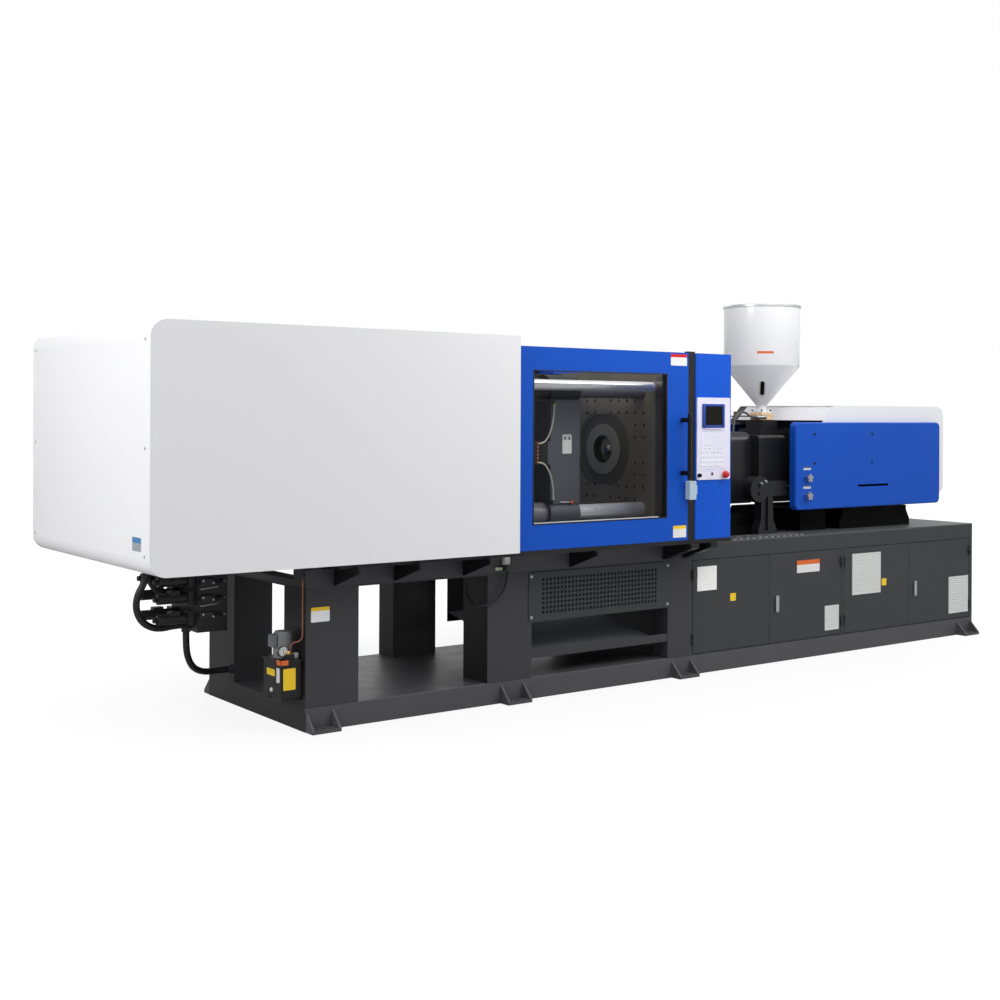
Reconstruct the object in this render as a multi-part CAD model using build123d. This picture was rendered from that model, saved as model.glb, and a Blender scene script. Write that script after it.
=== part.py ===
from build123d import *
from math import acos, cos, degrees, hypot, pi, radians, sin, tan
import os

# Horizontal injection moulding machine with a toggle clamp, in millimetres.
# X runs from the clamp end to the injection end, -Y is the operator's side and Z is up.
# The origin lies on the floor, under the middle of the machine.

# Fits and gaps
RUN_FIT = 0.1
GAP = 0.3
SEAM = 3

# Skid and anchor feet
SKID_LEFT_X = -2112
SKID_RIGHT_X = 2950
BASE_HALF_W = 520
SKID_H = 110
SKID_RAIL_W = 80
SKID_FLOOR_T = 10
SKID_BAYS = 5
SKID_EDGE = 4
FOOT_XS = (-2034, -928, 252, 2860)
FOOT_W = 150
FOOT_REACH = 68
FOOT_PLATE_T = 16
FOOT_GUSSET_T = 12
FOOT_GUSSET_H = 88
FOOT_HOLE_R = 14

# Clamp frame: box legs and channel beams
LEG_H = 540
LEG_W = 280
LEG_WALL = 12
FRONT_LEG_D = 210
REAR_LEG_W = 210
REAR_LEG_D = 295
SECOND_LEG_X = -1088
SECOND_REAR_LEG_D = 150
BEAM_H = 90
BEAM_D = 120
BEAM_WALL = 12
FRAME_RIGHT_X = 323
END_POST_W = 178
PLATEN_BED_LEFT_X = 40
CROSS_BEAM_W = 90
CROSS_BEAM_H = 38
SHELF_Z = 205
SHELF_T = 4
SHELF_LIP_H = 44
SHELF_D = 560

# Grille panel under the mould space
GRILLE_BOTTOM_Z = 356
GRILLE_T = 4
GRILLE_COLS = 24
GRILLE_ROWS = 5
GRILLE_HOLE = 20
GRILLE_PITCH_X = 33
GRILLE_PITCH_Z = 36
GRILLE_EDGE = 22

# Injection base cabinet and its doors
CAB_WALL = 8
CAB_DECK_T = 12
CAB_POST_W = 30
CAB_END_W = 34
CAB_STRIP_W = 12
DOOR_SPLITS_X = (965, 1619, 2271)
DOOR_T = 20
DOOR_SKIN = 2
DOOR_TOP_Z = 640
DOOR_BOTTOM_Z = 116
HINGE_R = 8
HINGE_PIN_R = 4
HINGE_KNUCKLE_H = 30
HINGE_LEVELS = (196, 560)
HINGE_PROUD = 9
LATCH_Z = 376
LATCH_INSET = 55
LATCH_L = 100
LATCH_W = 26
LATCH_T = 12
LATCH_STEM_R = 9
VENT_T = 5
VENT_SLAT_PITCH = 14
TANK_H = 300
TANK_LEFT_INSET = 60

# Clamp cover
COVER_LEFT_X = -2950
COVER_RIGHT_X = -1060
COVER_HALF_W = 750
COVER_TOP_Z = 1843
COVER_WALL = 4
COVER_R = 75
COVER_GAP = 40
COVER_FLOOR_L = 560

# Safety gates and their guides
GATE_LEFT_X = -1113
GATE_RIGHT_X = 100
GATE_FACE_Y = 720
GATE_T = 40
GATE_H = 1012
GATE_SKIN = 3
WINDOW_LEFT_X = -959
WINDOW_RIGHT_X = -54
WINDOW_BOTTOM_Z = 910
WINDOW_TOP_Z = 1680
PANE_T = 6
TRACK_LEFT_X = -2050
TRACK_T = 22
TRACK_W = 44
BRACKETS = ((-1966, 12), (-1640, 12), (-1240, 12), (-560, 12), (104, 60), (253, 54))
GUIDE_ROD_R = 28
GUIDE_ROD_Y = 470
GUIDE_ROD_Z = 1614
GUIDE_ROD_LEFT_X = -1950
GUIDE_END_R = 32
GUIDE_END_L = 90
TOP_RAIL_Z = 1735
TOP_RAIL_H = 40
TOP_RAIL_T = 20
LOW_RAIL_TOP_Z = 905
LOW_RAIL_H = 30
HANDLE_X = 54
HANDLE_Z0 = 1113
HANDLE_Z1 = 1468
HANDLE_R = 11
HANDLE_REACH = 70
HANDLE_STUD_R = 13

# Control column and its fittings
COLUMN_LEFT_X = 157
COLUMN_RIGHT_X = 430
COLUMN_D = 200
COLUMN_R = 6
PANEL_W = 252
PANEL_H = 449
PANEL_LEFT_INSET = 6
PANEL_BOTTOM_Z = 1107
PANEL_T = 6
SCREEN_W = 130
SCREEN_H = 140
SCREEN_TOP_INSET = 32
SCREEN_PROUD = 5
KEY_COLS = 6
KEY_ROWS = 7
KEY_W = 20
KEY_H = 12
KEY_PITCH_X = 33
KEY_PITCH_Z = 24
KEY_PROUD = 1.5
ESTOP_R = 20
ESTOP_STEM_R = 11
ESTOP_PROUD = 30
ESTOP_TRAVEL = 5
KEYSWITCH_R = 11
SWITCH_BOX_W = 49
SWITCH_ARM_LAP = 10
SWITCH_BOX_H = 100
SWITCH_BOX_T = 34
SWITCH_BOX_X = 78
SWITCH_BOX_Z = 1004

# Clamp axis, tie bars and platens
AXIS_RISE = 520
TIE_SPACING = 660
TIE_R = 40
TIE_LEFT_X = -1800
TIE_NUT_R = 66
TIE_NUT_L = 80
FACE_X = 110
FIXED_T = 210
FIXED_HALF = 450
FIXED_CORNER_R = 40
LOCATING_R = 80
LOCATING_DEPTH = 24
RING_IN_R = 147
RING_OUT_R = 205
RING_GROOVE = 6
NOZZLE_CONE_R = 130
TAP_R = 10
TAP_DEPTH = 40
TAP_PITCH = 70
DAYLIGHT = 503
MOVING_T = 202
MOVING_HALF = 400
MOVING_WEB_H = 556
MOVING_NARROW = 500
MOVING_TALL = 840
BOSS_R = 80
BUSH_R = 62
BUSH_BACK = 200
SHOE_IN = 300
SHOE_OUT = 480
SHOE_H = 140

# Grease distributor and tubes on the moving platen
GREASE_BLOCK_X = -725
GREASE_BLOCK_W = 25
GREASE_BLOCK_T = 24
GREASE_PORT_L = 14
GREASE_PORT_PITCH = 20
GREASE_TUBE_R = 4
GREASE_ROUTES = {
    "grease_tube_1": (
        (-686, -412, 1306), (-656, -412, 1306), (-628, -416, 1332), (-606, -418, 1378),
        (-590, -417, 1430), (-580, -412, 1480), (-580, -412, 1516),
    ),
    "grease_tube_2": (
        (-686, -412, 1206), (-656, -412, 1206), (-628, -416, 1180), (-606, -418, 1134),
        (-592, -417, 1086), (-584, -412, 1042), (-584, -412, 1008),
    ),
}

# Toggle linkage, from the tail stock's pins to the moving platen's
LINK_L = 330
PIVOT_RISE = 190
PLATEN_PIN_BACK = 60
PIN_SPAN_REST = 410
PIN_R = 30
LINK_EYE_R = 50
LINK_W = 62
FRONT_LINK_Y0 = 62
FRONT_LINK_Y1 = 92
REAR_LINK_Y0 = 95
REAR_LINK_Y1 = 125
CROSS_LINK_Y0 = 128
CROSS_LINK_Y1 = 152
SPACER_R = 22
SPACER_AT = 230
EAR_AT = 120
CROSS_LINK_L = 250
CROSS_LINK_W = 44
CROSS_PIN_RISE = 60
CROSS_PIN_R = 18
CROSS_EYE_R = 34
CROSSHEAD_T = 60
CROSSHEAD_H = 50
CROSSHEAD_ROD_Y = 205
CROSSHEAD_ROD_R = 22
CROSSHEAD_ROD_BACK = 160
CROSSHEAD_CHEEK = 20
LUG_L = 160
TAIL_T = 200
CLAMP_ROD_R = 35
CLAMP_CYL_R = 110
CLAMP_CYL_WALL = 20
CLAMP_CYL_L = 440
PISTON_T = 40
ADJUST_NUT_R = 78
ADJUST_NUT_L = 70
RING_GEAR_R = 400
RING_GEAR_RIM = 26
RING_GEAR_T = 30

# Ejector in the moving platen
EJECTOR_ROD_R = 24
EJECTOR_PLATE_W = 220
EJECTOR_PLATE_H = 90
EJECTOR_PLATE_T = 22
EJECTOR_CYL_R = 32
EJECTOR_CYL_Y = 75
EJECTOR_CYL_L = 12
EJECTOR_STANDOFF = 76
EJECTOR_POCKET = 62
EJECTOR_SIDE_GAP = 6

# Injection carriage
PLINTH_RIGHT_X = 1240
PLINTH_HALF = 290
PLINTH_H = 130
CARRIAGE_ROD_Y = 195
CARRIAGE_ROD_R = 28
CARRIAGE_ROD_Z = 1000
CARRIAGE_ROD_RIGHT_X = 2380
HOUSING_LEFT_X = 1104
HOUSING_RIGHT_X = 1336
HOUSING_HALF = 300
HOUSING_TOP_Z = 1338
HOUSING_BOTTOM_Z = 930
THROAT_X = 1448
THROAT_HALF = 95
BARREL_R = 62
BARREL_LEFT_X = 350
BARREL_RIGHT_X = 1560
BARREL_CAP_R = 54
BAND_R = 74
BAND_L = 116
BAND_GAP = 30
BAND_COUNT = 5
NOZZLE_TIP_X = 137
NOZZLE_R = 30
NOZZLE_HEX_R = 42
NOZZLE_TIP_R = 14
MELT_BORE_R = 28
SCREW_R = 27.9
SCREW_RIGHT_X = 1980
SHROUD_LEFT_X = 350
SHROUD_HALF = 235
SHROUD_BOTTOM_Z = 925
SHROUD_TOP_Z = 1358
SHROUD_WALL = 3
SHROUD_R = 60
INJ_CYL_Y = 210
INJ_CYL_R = 75
INJ_CYL_L = 420
INJ_CYL_LEFT_X = 1590
INJ_ROD_R = 32
RAM_X = 2080
RAM_T = 90
RAM_HALF = 300
RAM_H = 220
MOTOR_R = 135
MOTOR_L = 300
BACK_PLATE_X = 2480
BACK_PLATE_T = 40
BACK_PLATE_HALF = 320

# Front feet of the carriage: a boss, a flared leg and an arm on each side
BOSS_X = 1007
BOSS_Z = 1018
BOSS_DISC_R = 78
CASTING_Y = 400
CASTING_T = 70
CASTING_LEG_OFFSET = 80
CASTING_LEG_W = 100
CASTING_FOOT_W = 160
CASTING_ARM_H = 88
CASTING_ARM_RIGHT_X = 1262

# Injection guards
SIDE_LEFT_X = 1266
SIDE_RIGHT_X = 2690
SIDE_BOTTOM_Z = 884
SIDE_TOP_Z = 1420
SIDE_FACE_Y = 450
SIDE_D = 48
SIDE_R = 34
SIDE_WALL = 3
SLOT_LEFT_X = 1848
SLOT_W = 300
SLOT_H = 14
SLOT_Z = 1020
HOOD_LEFT_X = 1672
HOOD_RIGHT_X = 2792
HOOD_HALF = 400
HOOD_TOP_Z = 1525
HOOD_BOTTOM_Z = 945
HOOD_SKIRT_Z = 1400
HOOD_TOP_R = 74
HOOD_WALL = 4
HOOD_REST_X = 1800
HOOD_SLANT = 126
HOOD_CHAMFER = 36
VALVE_X = 1368
VALVE_ZS = (1079, 969)
VALVE_R = 26
VALVE_PLATE_R = 36
VALVE_STEM_R = 7
VALVE_PROUD = 30
VALVE_LOBES = 5

# Hopper and throat
HOPPER_R = 240
HOPPER_WALL = 3
SEAM_GAP = 0.2
HOPPER_TOP_Z = 2160
HOPPER_CONE_Z = 1777
NECK_R = 50
NECK_TOP_Z = 1515
FLANGE_HALF = 108
FLANGE_T = 12
BLOCK_TOP_Z = 1478
BLOCK_BOTTOM_Z = 1432
FEED_R = 34
SHUTTER_T = 8
SHUTTER_HALF = 46
SHUTTER_L = 316
SHUTTER_KNOB_R = 12
LID_T = 4
LID_SKIRT_H = 14
LID_CLEAR = 1
GLASS_W = 26
GLASS_H = 84
GLASS_Z = 1660

# Deck plate and pedestals
STEP_LEFT_X = 436
STEP_RIGHT_X = 1290
STEP_Y0 = 512
STEP_Y1 = 360
STEP_T = 6
STEP_SLOTS = 9
PEDESTAL_LEFT_X = 1850
PEDESTAL_RIGHT_X = 2490
PEDESTAL_HALF = 330
PEDESTAL_TOP_Z = 870
PEDESTAL_FLARE = 34
PAD_X = 1480
PAD_L = 240
PAD_HALF = 300
PAD_TOP_Z = 868

# Lubrication pump on the first leg, and its copper pipe
LUBE_LEFT_X = -2222
LUBE_Y0 = -498
LUBE_Y1 = -318
LUBE_Z0 = 160
LUBE_Z1 = 327
LUBE_LID_T = 8
LUBE_MOTOR_X = -2166
LUBE_MOTOR_Y = -400
LUBE_MOTOR_R = 42
LUBE_MOTOR_TOP_Z = 455
PIPE_R = 4
PIPE_ROUTE = (
    (-2162, -470, 366), (-2162, -470, 396), (-2150, -480, 412), (-2132, -496, 415),
    (-2120, -507, 431), (-2120, -507, 700),
)

# Valve block and hoses at the clamp end, and the cables
BLOCK_X = -2400
BLOCK_W = 150
BLOCK_D = 300
BLOCK_H = 270
BLOCK_Z = 440
VALVE_ROWS = (505, 600, 680)
VALVE_COLUMN_Y = 96
SOLENOID_R = 24
SOLENOID_L = 140
HOSE_R = 16
HOSE_GLAND_R = 22
HOSE_GLAND_L = 24
CABLE_R = 7
CORD_ROUTES = {
    "hose_1": (
        (-2700, -90, 756), (-2700, -90, 692), (-2738, -82, 628), (-2742, -74, 560),
        (-2711, -64, 500), (-2654, -52, 465), (-2596, -40, 458), (-2546, -32, 464),
        (-2499, -32, 464),
    ),
    "hose_2": (
        (-2644, 34, 756), (-2644, 34, 702), (-2622, 34, 652), (-2584, 33, 616),
        (-2540, 32, 600), (-2499, 32, 600),
    ),
    "hose_3": (
        (-2440, 60, 416), (-2440, 60, 352), (-2420, 84, 284), (-2376, 124, 228),
        (-2314, 174, 196), (-2252, 222, 180), (-2194, 246, 176), (-2136, 246, 176),
    ),
    "frame_cable": (
        (-985, -548, 672), (-985, -548, 628), (-1010, -552, 568), (-1062, -552, 522),
        (-1122, -540, 502), (-1156, -500, 508), (-1162, -452, 540), (-1156, -418, 588),
        (-1156, -418, 634),
    ),
    "hopper_cable": (
        (1130, -60, 1350), (1130, -60, 1404), (1148, -64, 1454), (1188, -69, 1482),
        (1234, -73, 1478), (1264, -75, 1450), (1326, -75, 1450),
    ),
}

# Pump and motor in the base
PUMP_X = 700
PUMP_Z = 330
PUMP_MOTOR_R = 130
PUMP_MOTOR_L = 380
PUMP_R = 85
PUMP_L = 190
PUMP_BED_H = 60

# Derived levels and places
BEAM_BOTTOM_Z = SKID_H + LEG_H
DECK_Z = BEAM_BOTTOM_Z + BEAM_H
AXIS_Z = DECK_Z + AXIS_RISE
COVER_BOTTOM_Z = DECK_Z + COVER_GAP
TRACK_TOP_Z = DECK_Z + COVER_GAP + 4
GATE_BOTTOM_Z = TRACK_TOP_Z + GAP
GATE_TOP_Z = GATE_BOTTOM_Z + GATE_H
TIE_HALF = TIE_SPACING / 2
TIE_POINTS = [(y, z) for y in (-TIE_HALF, TIE_HALF) for z in (-TIE_HALF, TIE_HALF)]
FIXED_BACK_X = FACE_X + FIXED_T
MOVING_FACE_X = FACE_X - DAYLIGHT
MOVING_BACK_X = MOVING_FACE_X - MOVING_T
PLATEN_PIN_X = MOVING_BACK_X - PLATEN_PIN_BACK
TAIL_PIN_X = PLATEN_PIN_X - PIN_SPAN_REST
TAIL_FACE_X = TAIL_PIN_X - LUG_L
TAIL_BACK_X = TAIL_FACE_X - TAIL_T
LINK_ANGLE = degrees(acos(PIN_SPAN_REST / 2 / LINK_L))
EAR_X = TAIL_PIN_X + EAR_AT * cos(radians(LINK_ANGLE))
EAR_RISE = PIVOT_RISE + EAR_AT * sin(radians(LINK_ANGLE))
CROSS_REACH = (CROSS_LINK_L ** 2 - (EAR_RISE - CROSS_PIN_RISE) ** 2) ** 0.5
CROSSHEAD_X = EAR_X + CROSS_REACH
CROSS_ANGLE = 180 - degrees(acos(CROSS_REACH / CROSS_LINK_L))
SECOND_LEG_RIGHT_X = SECOND_LEG_X + LEG_W
END_POST_LEFT_X = FRAME_RIGHT_X - END_POST_W
COLUMN_W = COLUMN_RIGHT_X - COLUMN_LEFT_X
PANEL_LEFT_X = COLUMN_LEFT_X + PANEL_LEFT_INSET
PANEL_FACE_Y = GATE_FACE_Y + PANEL_T
CAB_LEFT_X = FRAME_RIGHT_X
DOOR_EDGES_X = (CAB_LEFT_X + CAB_STRIP_W, *DOOR_SPLITS_X, SKID_RIGHT_X - CAB_END_W)
DOOR_FACE_Y = BASE_HALF_W
DOOR_BACK_Y = BASE_HALF_W - DOOR_T


# Helpers: a box between limits, and round bars along each axis
def box(x0, x1, y0, y1, z0, z1):
    centre = ((x0 + x1) / 2, (y0 + y1) / 2, (z0 + z1) / 2)
    return Pos(*centre) * Box(abs(x1 - x0), abs(y1 - y0), abs(z1 - z0))


def bar_x(x0, x1, y, z, r):
    return Pos((x0 + x1) / 2, y, z) * Rot(0, 90, 0) * Cylinder(r, abs(x1 - x0))


def bar_y(y0, y1, x, z, r):
    return Pos(x, (y0 + y1) / 2, z) * Rot(90, 0, 0) * Cylinder(r, abs(y1 - y0))


def bar_z(z0, z1, x, y, r):
    return Pos(x, y, (z0 + z1) / 2) * Cylinder(r, abs(z1 - z0))


def slab_y(points, y0, y1):
    # A plate whose outline is drawn in X and Z, between two Y planes
    face = make_face(Polyline(*[(x, y0, z) for x, z in points], close=True))
    return extrude(face, amount=y1 - y0, dir=(0, 1, 0))


def slab_x(points, x0, x1):
    # A plate whose outline is drawn in Y and Z, between two X planes
    face = make_face(Polyline(*[(x0, y, z) for y, z in points], close=True))
    return extrude(face, amount=x1 - x0, dir=(1, 0, 0))


def mirrored_y(shape):
    return mirror(shape, Plane.XZ)


def base_skid():
    body = box(SKID_LEFT_X, SKID_RIGHT_X, -BASE_HALF_W, BASE_HALF_W, 0, SKID_H)
    body = chamfer(body.edges().group_by(Axis.Z)[-1].filter_by(Axis.X), SKID_EDGE)
    pitch = (SKID_RIGHT_X - SKID_LEFT_X - SKID_RAIL_W) / SKID_BAYS
    inner = BASE_HALF_W - SKID_RAIL_W
    for bay in range(SKID_BAYS):
        left = SKID_LEFT_X + SKID_RAIL_W + bay * pitch
        body -= box(left, left + pitch - SKID_RAIL_W, -inner, inner, 0, SKID_H - SKID_FLOOR_T)
    for x in FOOT_XS:
        foot = anchor_foot(x)
        body += foot
        body += mirrored_y(foot)
    return body


def anchor_foot(x):
    # A bolted foot: a plate on the floor between two triangular gussets
    near = -BASE_HALF_W
    far = near - FOOT_REACH
    half = FOOT_W / 2
    foot = box(x - half, x + half, far, near, 0, FOOT_PLATE_T)
    foot -= bar_z(0, FOOT_PLATE_T, x, near - FOOT_REACH / 2, FOOT_HOLE_R)
    for side in (-1, 1):
        inner = x + side * (half - FOOT_GUSSET_T)
        outline = [(near, 0), (far, 0), (far, FOOT_PLATE_T), (near, FOOT_GUSSET_H)]
        foot += slab_x(outline, min(inner, x + side * half), max(inner, x + side * half))
    return foot


def leg(x0, width, y0, depth):
    # A box-section leg, open at the foot where it stands on the skid
    tube = box(x0, x0 + width, y0, y0 + depth, SKID_H, BEAM_BOTTOM_Z)
    wall = LEG_WALL
    bore = box(x0 + wall, x0 + width - wall, y0 + wall, y0 + depth - wall, SKID_H, BEAM_BOTTOM_Z - wall)
    return tube - bore


def channel_beam():
    # The side beam is a channel that opens inwards
    inner = BASE_HALF_W - BEAM_D
    beam = box(SKID_LEFT_X, FRAME_RIGHT_X, -BASE_HALF_W, -inner, BEAM_BOTTOM_Z, DECK_Z)
    beam -= box(
        SKID_LEFT_X + BEAM_WALL,
        PLATEN_BED_LEFT_X,
        -BASE_HALF_W + BEAM_WALL,
        -inner,
        BEAM_BOTTOM_Z + BEAM_WALL,
        DECK_Z - BEAM_WALL,
    )
    return beam


def clamp_frame():
    frame = channel_beam()
    frame += mirrored_y(frame)
    frame += leg(SKID_LEFT_X, LEG_W, -BASE_HALF_W, FRONT_LEG_D)
    frame += leg(SKID_LEFT_X, REAR_LEG_W, BASE_HALF_W - REAR_LEG_D, REAR_LEG_D)
    frame += leg(SECOND_LEG_X, LEG_W, -BASE_HALF_W, FRONT_LEG_D)
    frame += leg(SECOND_LEG_X, LEG_W, BASE_HALF_W - SECOND_REAR_LEG_D, SECOND_REAR_LEG_D)
    frame += leg(END_POST_LEFT_X, END_POST_W, -BASE_HALF_W, BEAM_D)
    frame += leg(END_POST_LEFT_X, END_POST_W, BASE_HALF_W - BEAM_D, BEAM_D)
    inner = BASE_HALF_W - BEAM_D
    for left in (SKID_LEFT_X, SECOND_LEG_X):
        frame += box(left, left + CROSS_BEAM_W, -inner, inner, BEAM_BOTTOM_Z, BEAM_BOTTOM_Z + CROSS_BEAM_H)
    frame += box(PLATEN_BED_LEFT_X, FRAME_RIGHT_X, -inner, inner, BEAM_BOTTOM_Z, DECK_Z)
    frame += service_shelf()
    x, y, z = CORD_ROUTES["frame_cable"][0]
    frame += box(x - 14, x + 14, y - 14, -BASE_HALF_W, z, z + 26)
    x, y, z = CORD_ROUTES["frame_cable"][-1]
    frame += bar_z(z, BEAM_BOTTOM_Z, x, y, 12)
    x, y, z = CORD_ROUTES["hose_3"][-1]
    frame += bar_x(x, SKID_LEFT_X, y, z, HOSE_GLAND_R)
    x, y, z = PIPE_ROUTE[-1]
    frame += box(x - 8, SKID_LEFT_X, y - 9, y + 9, z, z + 22)
    return frame


def service_shelf():
    # The folded shelf in the bay under the grille, welded between leg and end post
    front = -BASE_HALF_W + SEAM
    shelf = box(SECOND_LEG_RIGHT_X, END_POST_LEFT_X, front, front + SHELF_D, SHELF_Z, SHELF_Z + SHELF_T)
    lip = box(SECOND_LEG_RIGHT_X, END_POST_LEFT_X, front, front + SHELF_T, SHELF_Z, SHELF_Z + SHELF_LIP_H)
    return shelf + lip


def grille_panel():
    # A perforated sheet, screwed to the leg and the end post
    left = SECOND_LEG_RIGHT_X - GRILLE_EDGE
    right = END_POST_LEFT_X + GRILLE_EDGE
    face = -BASE_HALF_W
    sheet = box(left, right, face - GRILLE_T, face, GRILLE_BOTTOM_Z, BEAM_BOTTOM_Z - SEAM)
    mid_x = (left + right) / 2
    mid_z = (GRILLE_BOTTOM_Z + BEAM_BOTTOM_Z - SEAM) / 2
    first_x = mid_x - GRILLE_PITCH_X * (GRILLE_COLS - 1) / 2
    first_z = mid_z - GRILLE_PITCH_Z * (GRILLE_ROWS - 1) / 2
    holes = []
    for col in range(GRILLE_COLS):
        for row in range(GRILLE_ROWS):
            x = first_x + col * GRILLE_PITCH_X
            z = first_z + row * GRILLE_PITCH_Z
            holes.append(Pos(x, face - GRILLE_T / 2, z) * Box(GRILLE_HOLE, 2 * GRILLE_T, GRILLE_HOLE))
    return sheet - holes


def injection_base():
    # The cabinet under the injection unit: two bays behind four doors
    left = CAB_LEFT_X
    right = SKID_RIGHT_X
    back = BASE_HALF_W
    shell = box(left, right, -back, back, SKID_H, DECK_Z)
    inside_top = DECK_Z - CAB_DECK_T
    mid = DOOR_SPLITS_X[1]
    bays = ((left + CAB_STRIP_W, mid - CAB_POST_W / 2), (mid + CAB_POST_W / 2, right - CAB_END_W))
    for x0, x1 in bays:
        shell -= box(x0, x1, -DOOR_BACK_Y + CAB_WALL, back - CAB_WALL, SKID_H, inside_top)
        shell -= box(x0, x1, -back, -DOOR_BACK_Y + CAB_WALL, DOOR_BOTTOM_Z + 20, DOOR_TOP_Z - 20)
    recess_x0 = left + CAB_STRIP_W - SEAM
    recess_x1 = right - CAB_END_W + SEAM
    shell -= box(recess_x0, recess_x1, -back, -DOOR_BACK_Y, DOOR_BOTTOM_Z - SEAM, DOOR_TOP_Z + SEAM)
    shell += box(mid - CAB_POST_W / 2 + SEAM, mid + CAB_POST_W / 2 - SEAM, -back, -DOOR_BACK_Y, SKID_H, DECK_Z)
    shell += oil_tank(mid)
    shell += switch_plate()
    for index in range(4):
        shell += fixed_knuckles(index)
    return shell


def oil_tank(mid):
    # The welded oil tank fills the back of the first bay
    left = CAB_LEFT_X + CAB_STRIP_W + TANK_LEFT_INSET
    return box(left, mid - CAB_POST_W / 2 - TANK_LEFT_INSET, 60, BASE_HALF_W - CAB_WALL, SKID_H, SKID_H + TANK_H)


def door_span(index):
    # The left and right edges of a door, and the X of its hinge axis
    mid = DOOR_SPLITS_X[1]
    left = DOOR_EDGES_X[index]
    right = DOOR_EDGES_X[index + 1]
    hinged_left = index in (0, 2)
    left += CAB_POST_W / 2 if left == mid else SEAM / 2
    right -= CAB_POST_W / 2 if right == mid else SEAM / 2
    hinge = left - SEAM / 2 if hinged_left else right + SEAM / 2
    return left, right, hinge


def fixed_knuckles(index):
    # The lower half of each lift-off hinge, with its pin, on the frame
    hinge = door_span(index)[2]
    y = -BASE_HALF_W - HINGE_PROUD
    side = -1 if index in (0, 2) else 1
    knuckles = None
    for z in HINGE_LEVELS:
        knuckle = bar_z(z - HINGE_KNUCKLE_H, z - GAP, hinge, y, HINGE_R)
        knuckle += bar_z(z - GAP, z + HINGE_KNUCKLE_H - GAP, hinge, y, HINGE_PIN_R)
        knuckle += box(hinge, hinge + side * HINGE_R, y, -BASE_HALF_W, z - HINGE_KNUCKLE_H, z - GAP)
        knuckles = knuckle if knuckles is None else knuckles + knuckle
    return knuckles


def cabinet_door(index):
    # A pan-shaped door with half hinges and, except where a vent fits, a plain face
    left, right, hinge = door_span(index)
    face = -DOOR_FACE_Y
    back = -DOOR_BACK_Y - GAP
    pan = box(left, right, face, back, DOOR_BOTTOM_Z, DOOR_TOP_Z)
    pan -= box(
        left + DOOR_SKIN,
        right - DOOR_SKIN,
        face + DOOR_SKIN,
        back,
        DOOR_BOTTOM_Z + DOOR_SKIN,
        DOOR_TOP_Z - DOOR_SKIN,
    )
    y = -BASE_HALF_W - HINGE_PROUD
    side = 1 if index in (0, 2) else -1
    for z in HINGE_LEVELS:
        top = z + HINGE_KNUCKLE_H
        knuckle = bar_z(z, top, hinge, y, HINGE_R)
        knuckle += box(hinge, hinge + side * (HINGE_R + SEAM), y, face, z, top)
        pan += knuckle
        pan -= bar_z(z, top, hinge, y, HINGE_PIN_R + RUN_FIT)
    for vent in VENTS[index]:
        pan += louvre_vent(*vent)
    if index in (1, 3):
        pan -= bar_y(face - GAP, face + DOOR_SKIN + GAP, latch_x(index), LATCH_Z, LATCH_STEM_R + RUN_FIT)
    return pan


# Vents on the doors: left, right, bottom and top
VENTS = (
    ((368, 520, 466, 603),),
    ((1452, 1580, 148, 298),),
    ((1707, 1981, 345, 601),),
    ((2690, 2900, 150, 393),),
)


def louvre_vent(x0, x1, z0, z1):
    # A moulded vent with slanted slats, seated on the door's skin
    face = -DOOR_FACE_Y
    plate = box(x0, x1, face - VENT_T, face, z0, z1)
    count = int((z1 - z0 - VENT_SLAT_PITCH) / VENT_SLAT_PITCH)
    rim = VENT_SLAT_PITCH / 2
    for slat in range(count):
        z = z0 + rim + (slat + 0.5) * VENT_SLAT_PITCH
        groove = [(face - VENT_T, z - 4), (face - VENT_T, z + 5), (face - 1, z + 5)]
        plate -= slab_x(groove, x0 + rim, x1 - rim)
    return plate


def latch_x(index):
    # The latches sit near the free edge of the second and fourth doors
    return door_span(index)[0] + LATCH_INSET


def door_latch(index):
    # A swing handle: paddle, boss and the stem through the door skin
    x = latch_x(index)
    face = -DOOR_FACE_Y
    near = face - GAP
    bar = box(x - LATCH_W / 2, x + LATCH_W / 2, near - LATCH_T, near, LATCH_Z - LATCH_L + 20, LATCH_Z + 20)
    bar = fillet(bar.edges().filter_by(Axis.Y), LATCH_W / 2 - 1)
    stem = bar_y(near, face + DOOR_SKIN + 8, x, LATCH_Z, LATCH_STEM_R)
    cam = box(x - LATCH_W / 2, x + LATCH_W / 2, face + DOOR_SKIN + 4, face + DOOR_SKIN + 8, LATCH_Z - 15, LATCH_Z + 40)
    return bar + stem + cam


def clamp_cover():
    # Sheet cover: a wrap with rounded left corners, between two flat side panels
    width = COVER_RIGHT_X - COVER_LEFT_X
    height = COVER_TOP_Z - COVER_BOTTOM_Z
    centre = (COVER_LEFT_X + width / 2, 0, COVER_BOTTOM_Z + height / 2)
    solid = Pos(*centre) * Box(width, 2 * COVER_HALF_W, height)
    left_edges = solid.edges().filter_by(Axis.Y).sort_by(Axis.X)[:2]
    solid = fillet(left_edges, COVER_R)
    wall = COVER_WALL
    core = Pos(centre[0] + wall, 0, centre[2]) * Box(width, 2 * (COVER_HALF_W - wall), height - 2 * wall)
    core = fillet(core.edges().filter_by(Axis.Y).sort_by(Axis.X)[:2], COVER_R - wall)
    shell = solid - core
    mouth_left = COVER_LEFT_X + COVER_FLOOR_L
    inside = COVER_HALF_W - wall
    shell -= box(mouth_left, COVER_RIGHT_X, -inside, inside, COVER_BOTTOM_Z, COVER_BOTTOM_Z + wall)
    for name in ("hose_1", "hose_2"):
        x, y, z = CORD_ROUTES[name][0]
        shell += bar_z(z, COVER_BOTTOM_Z, x, y, HOSE_GLAND_R)
    return shell


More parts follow.
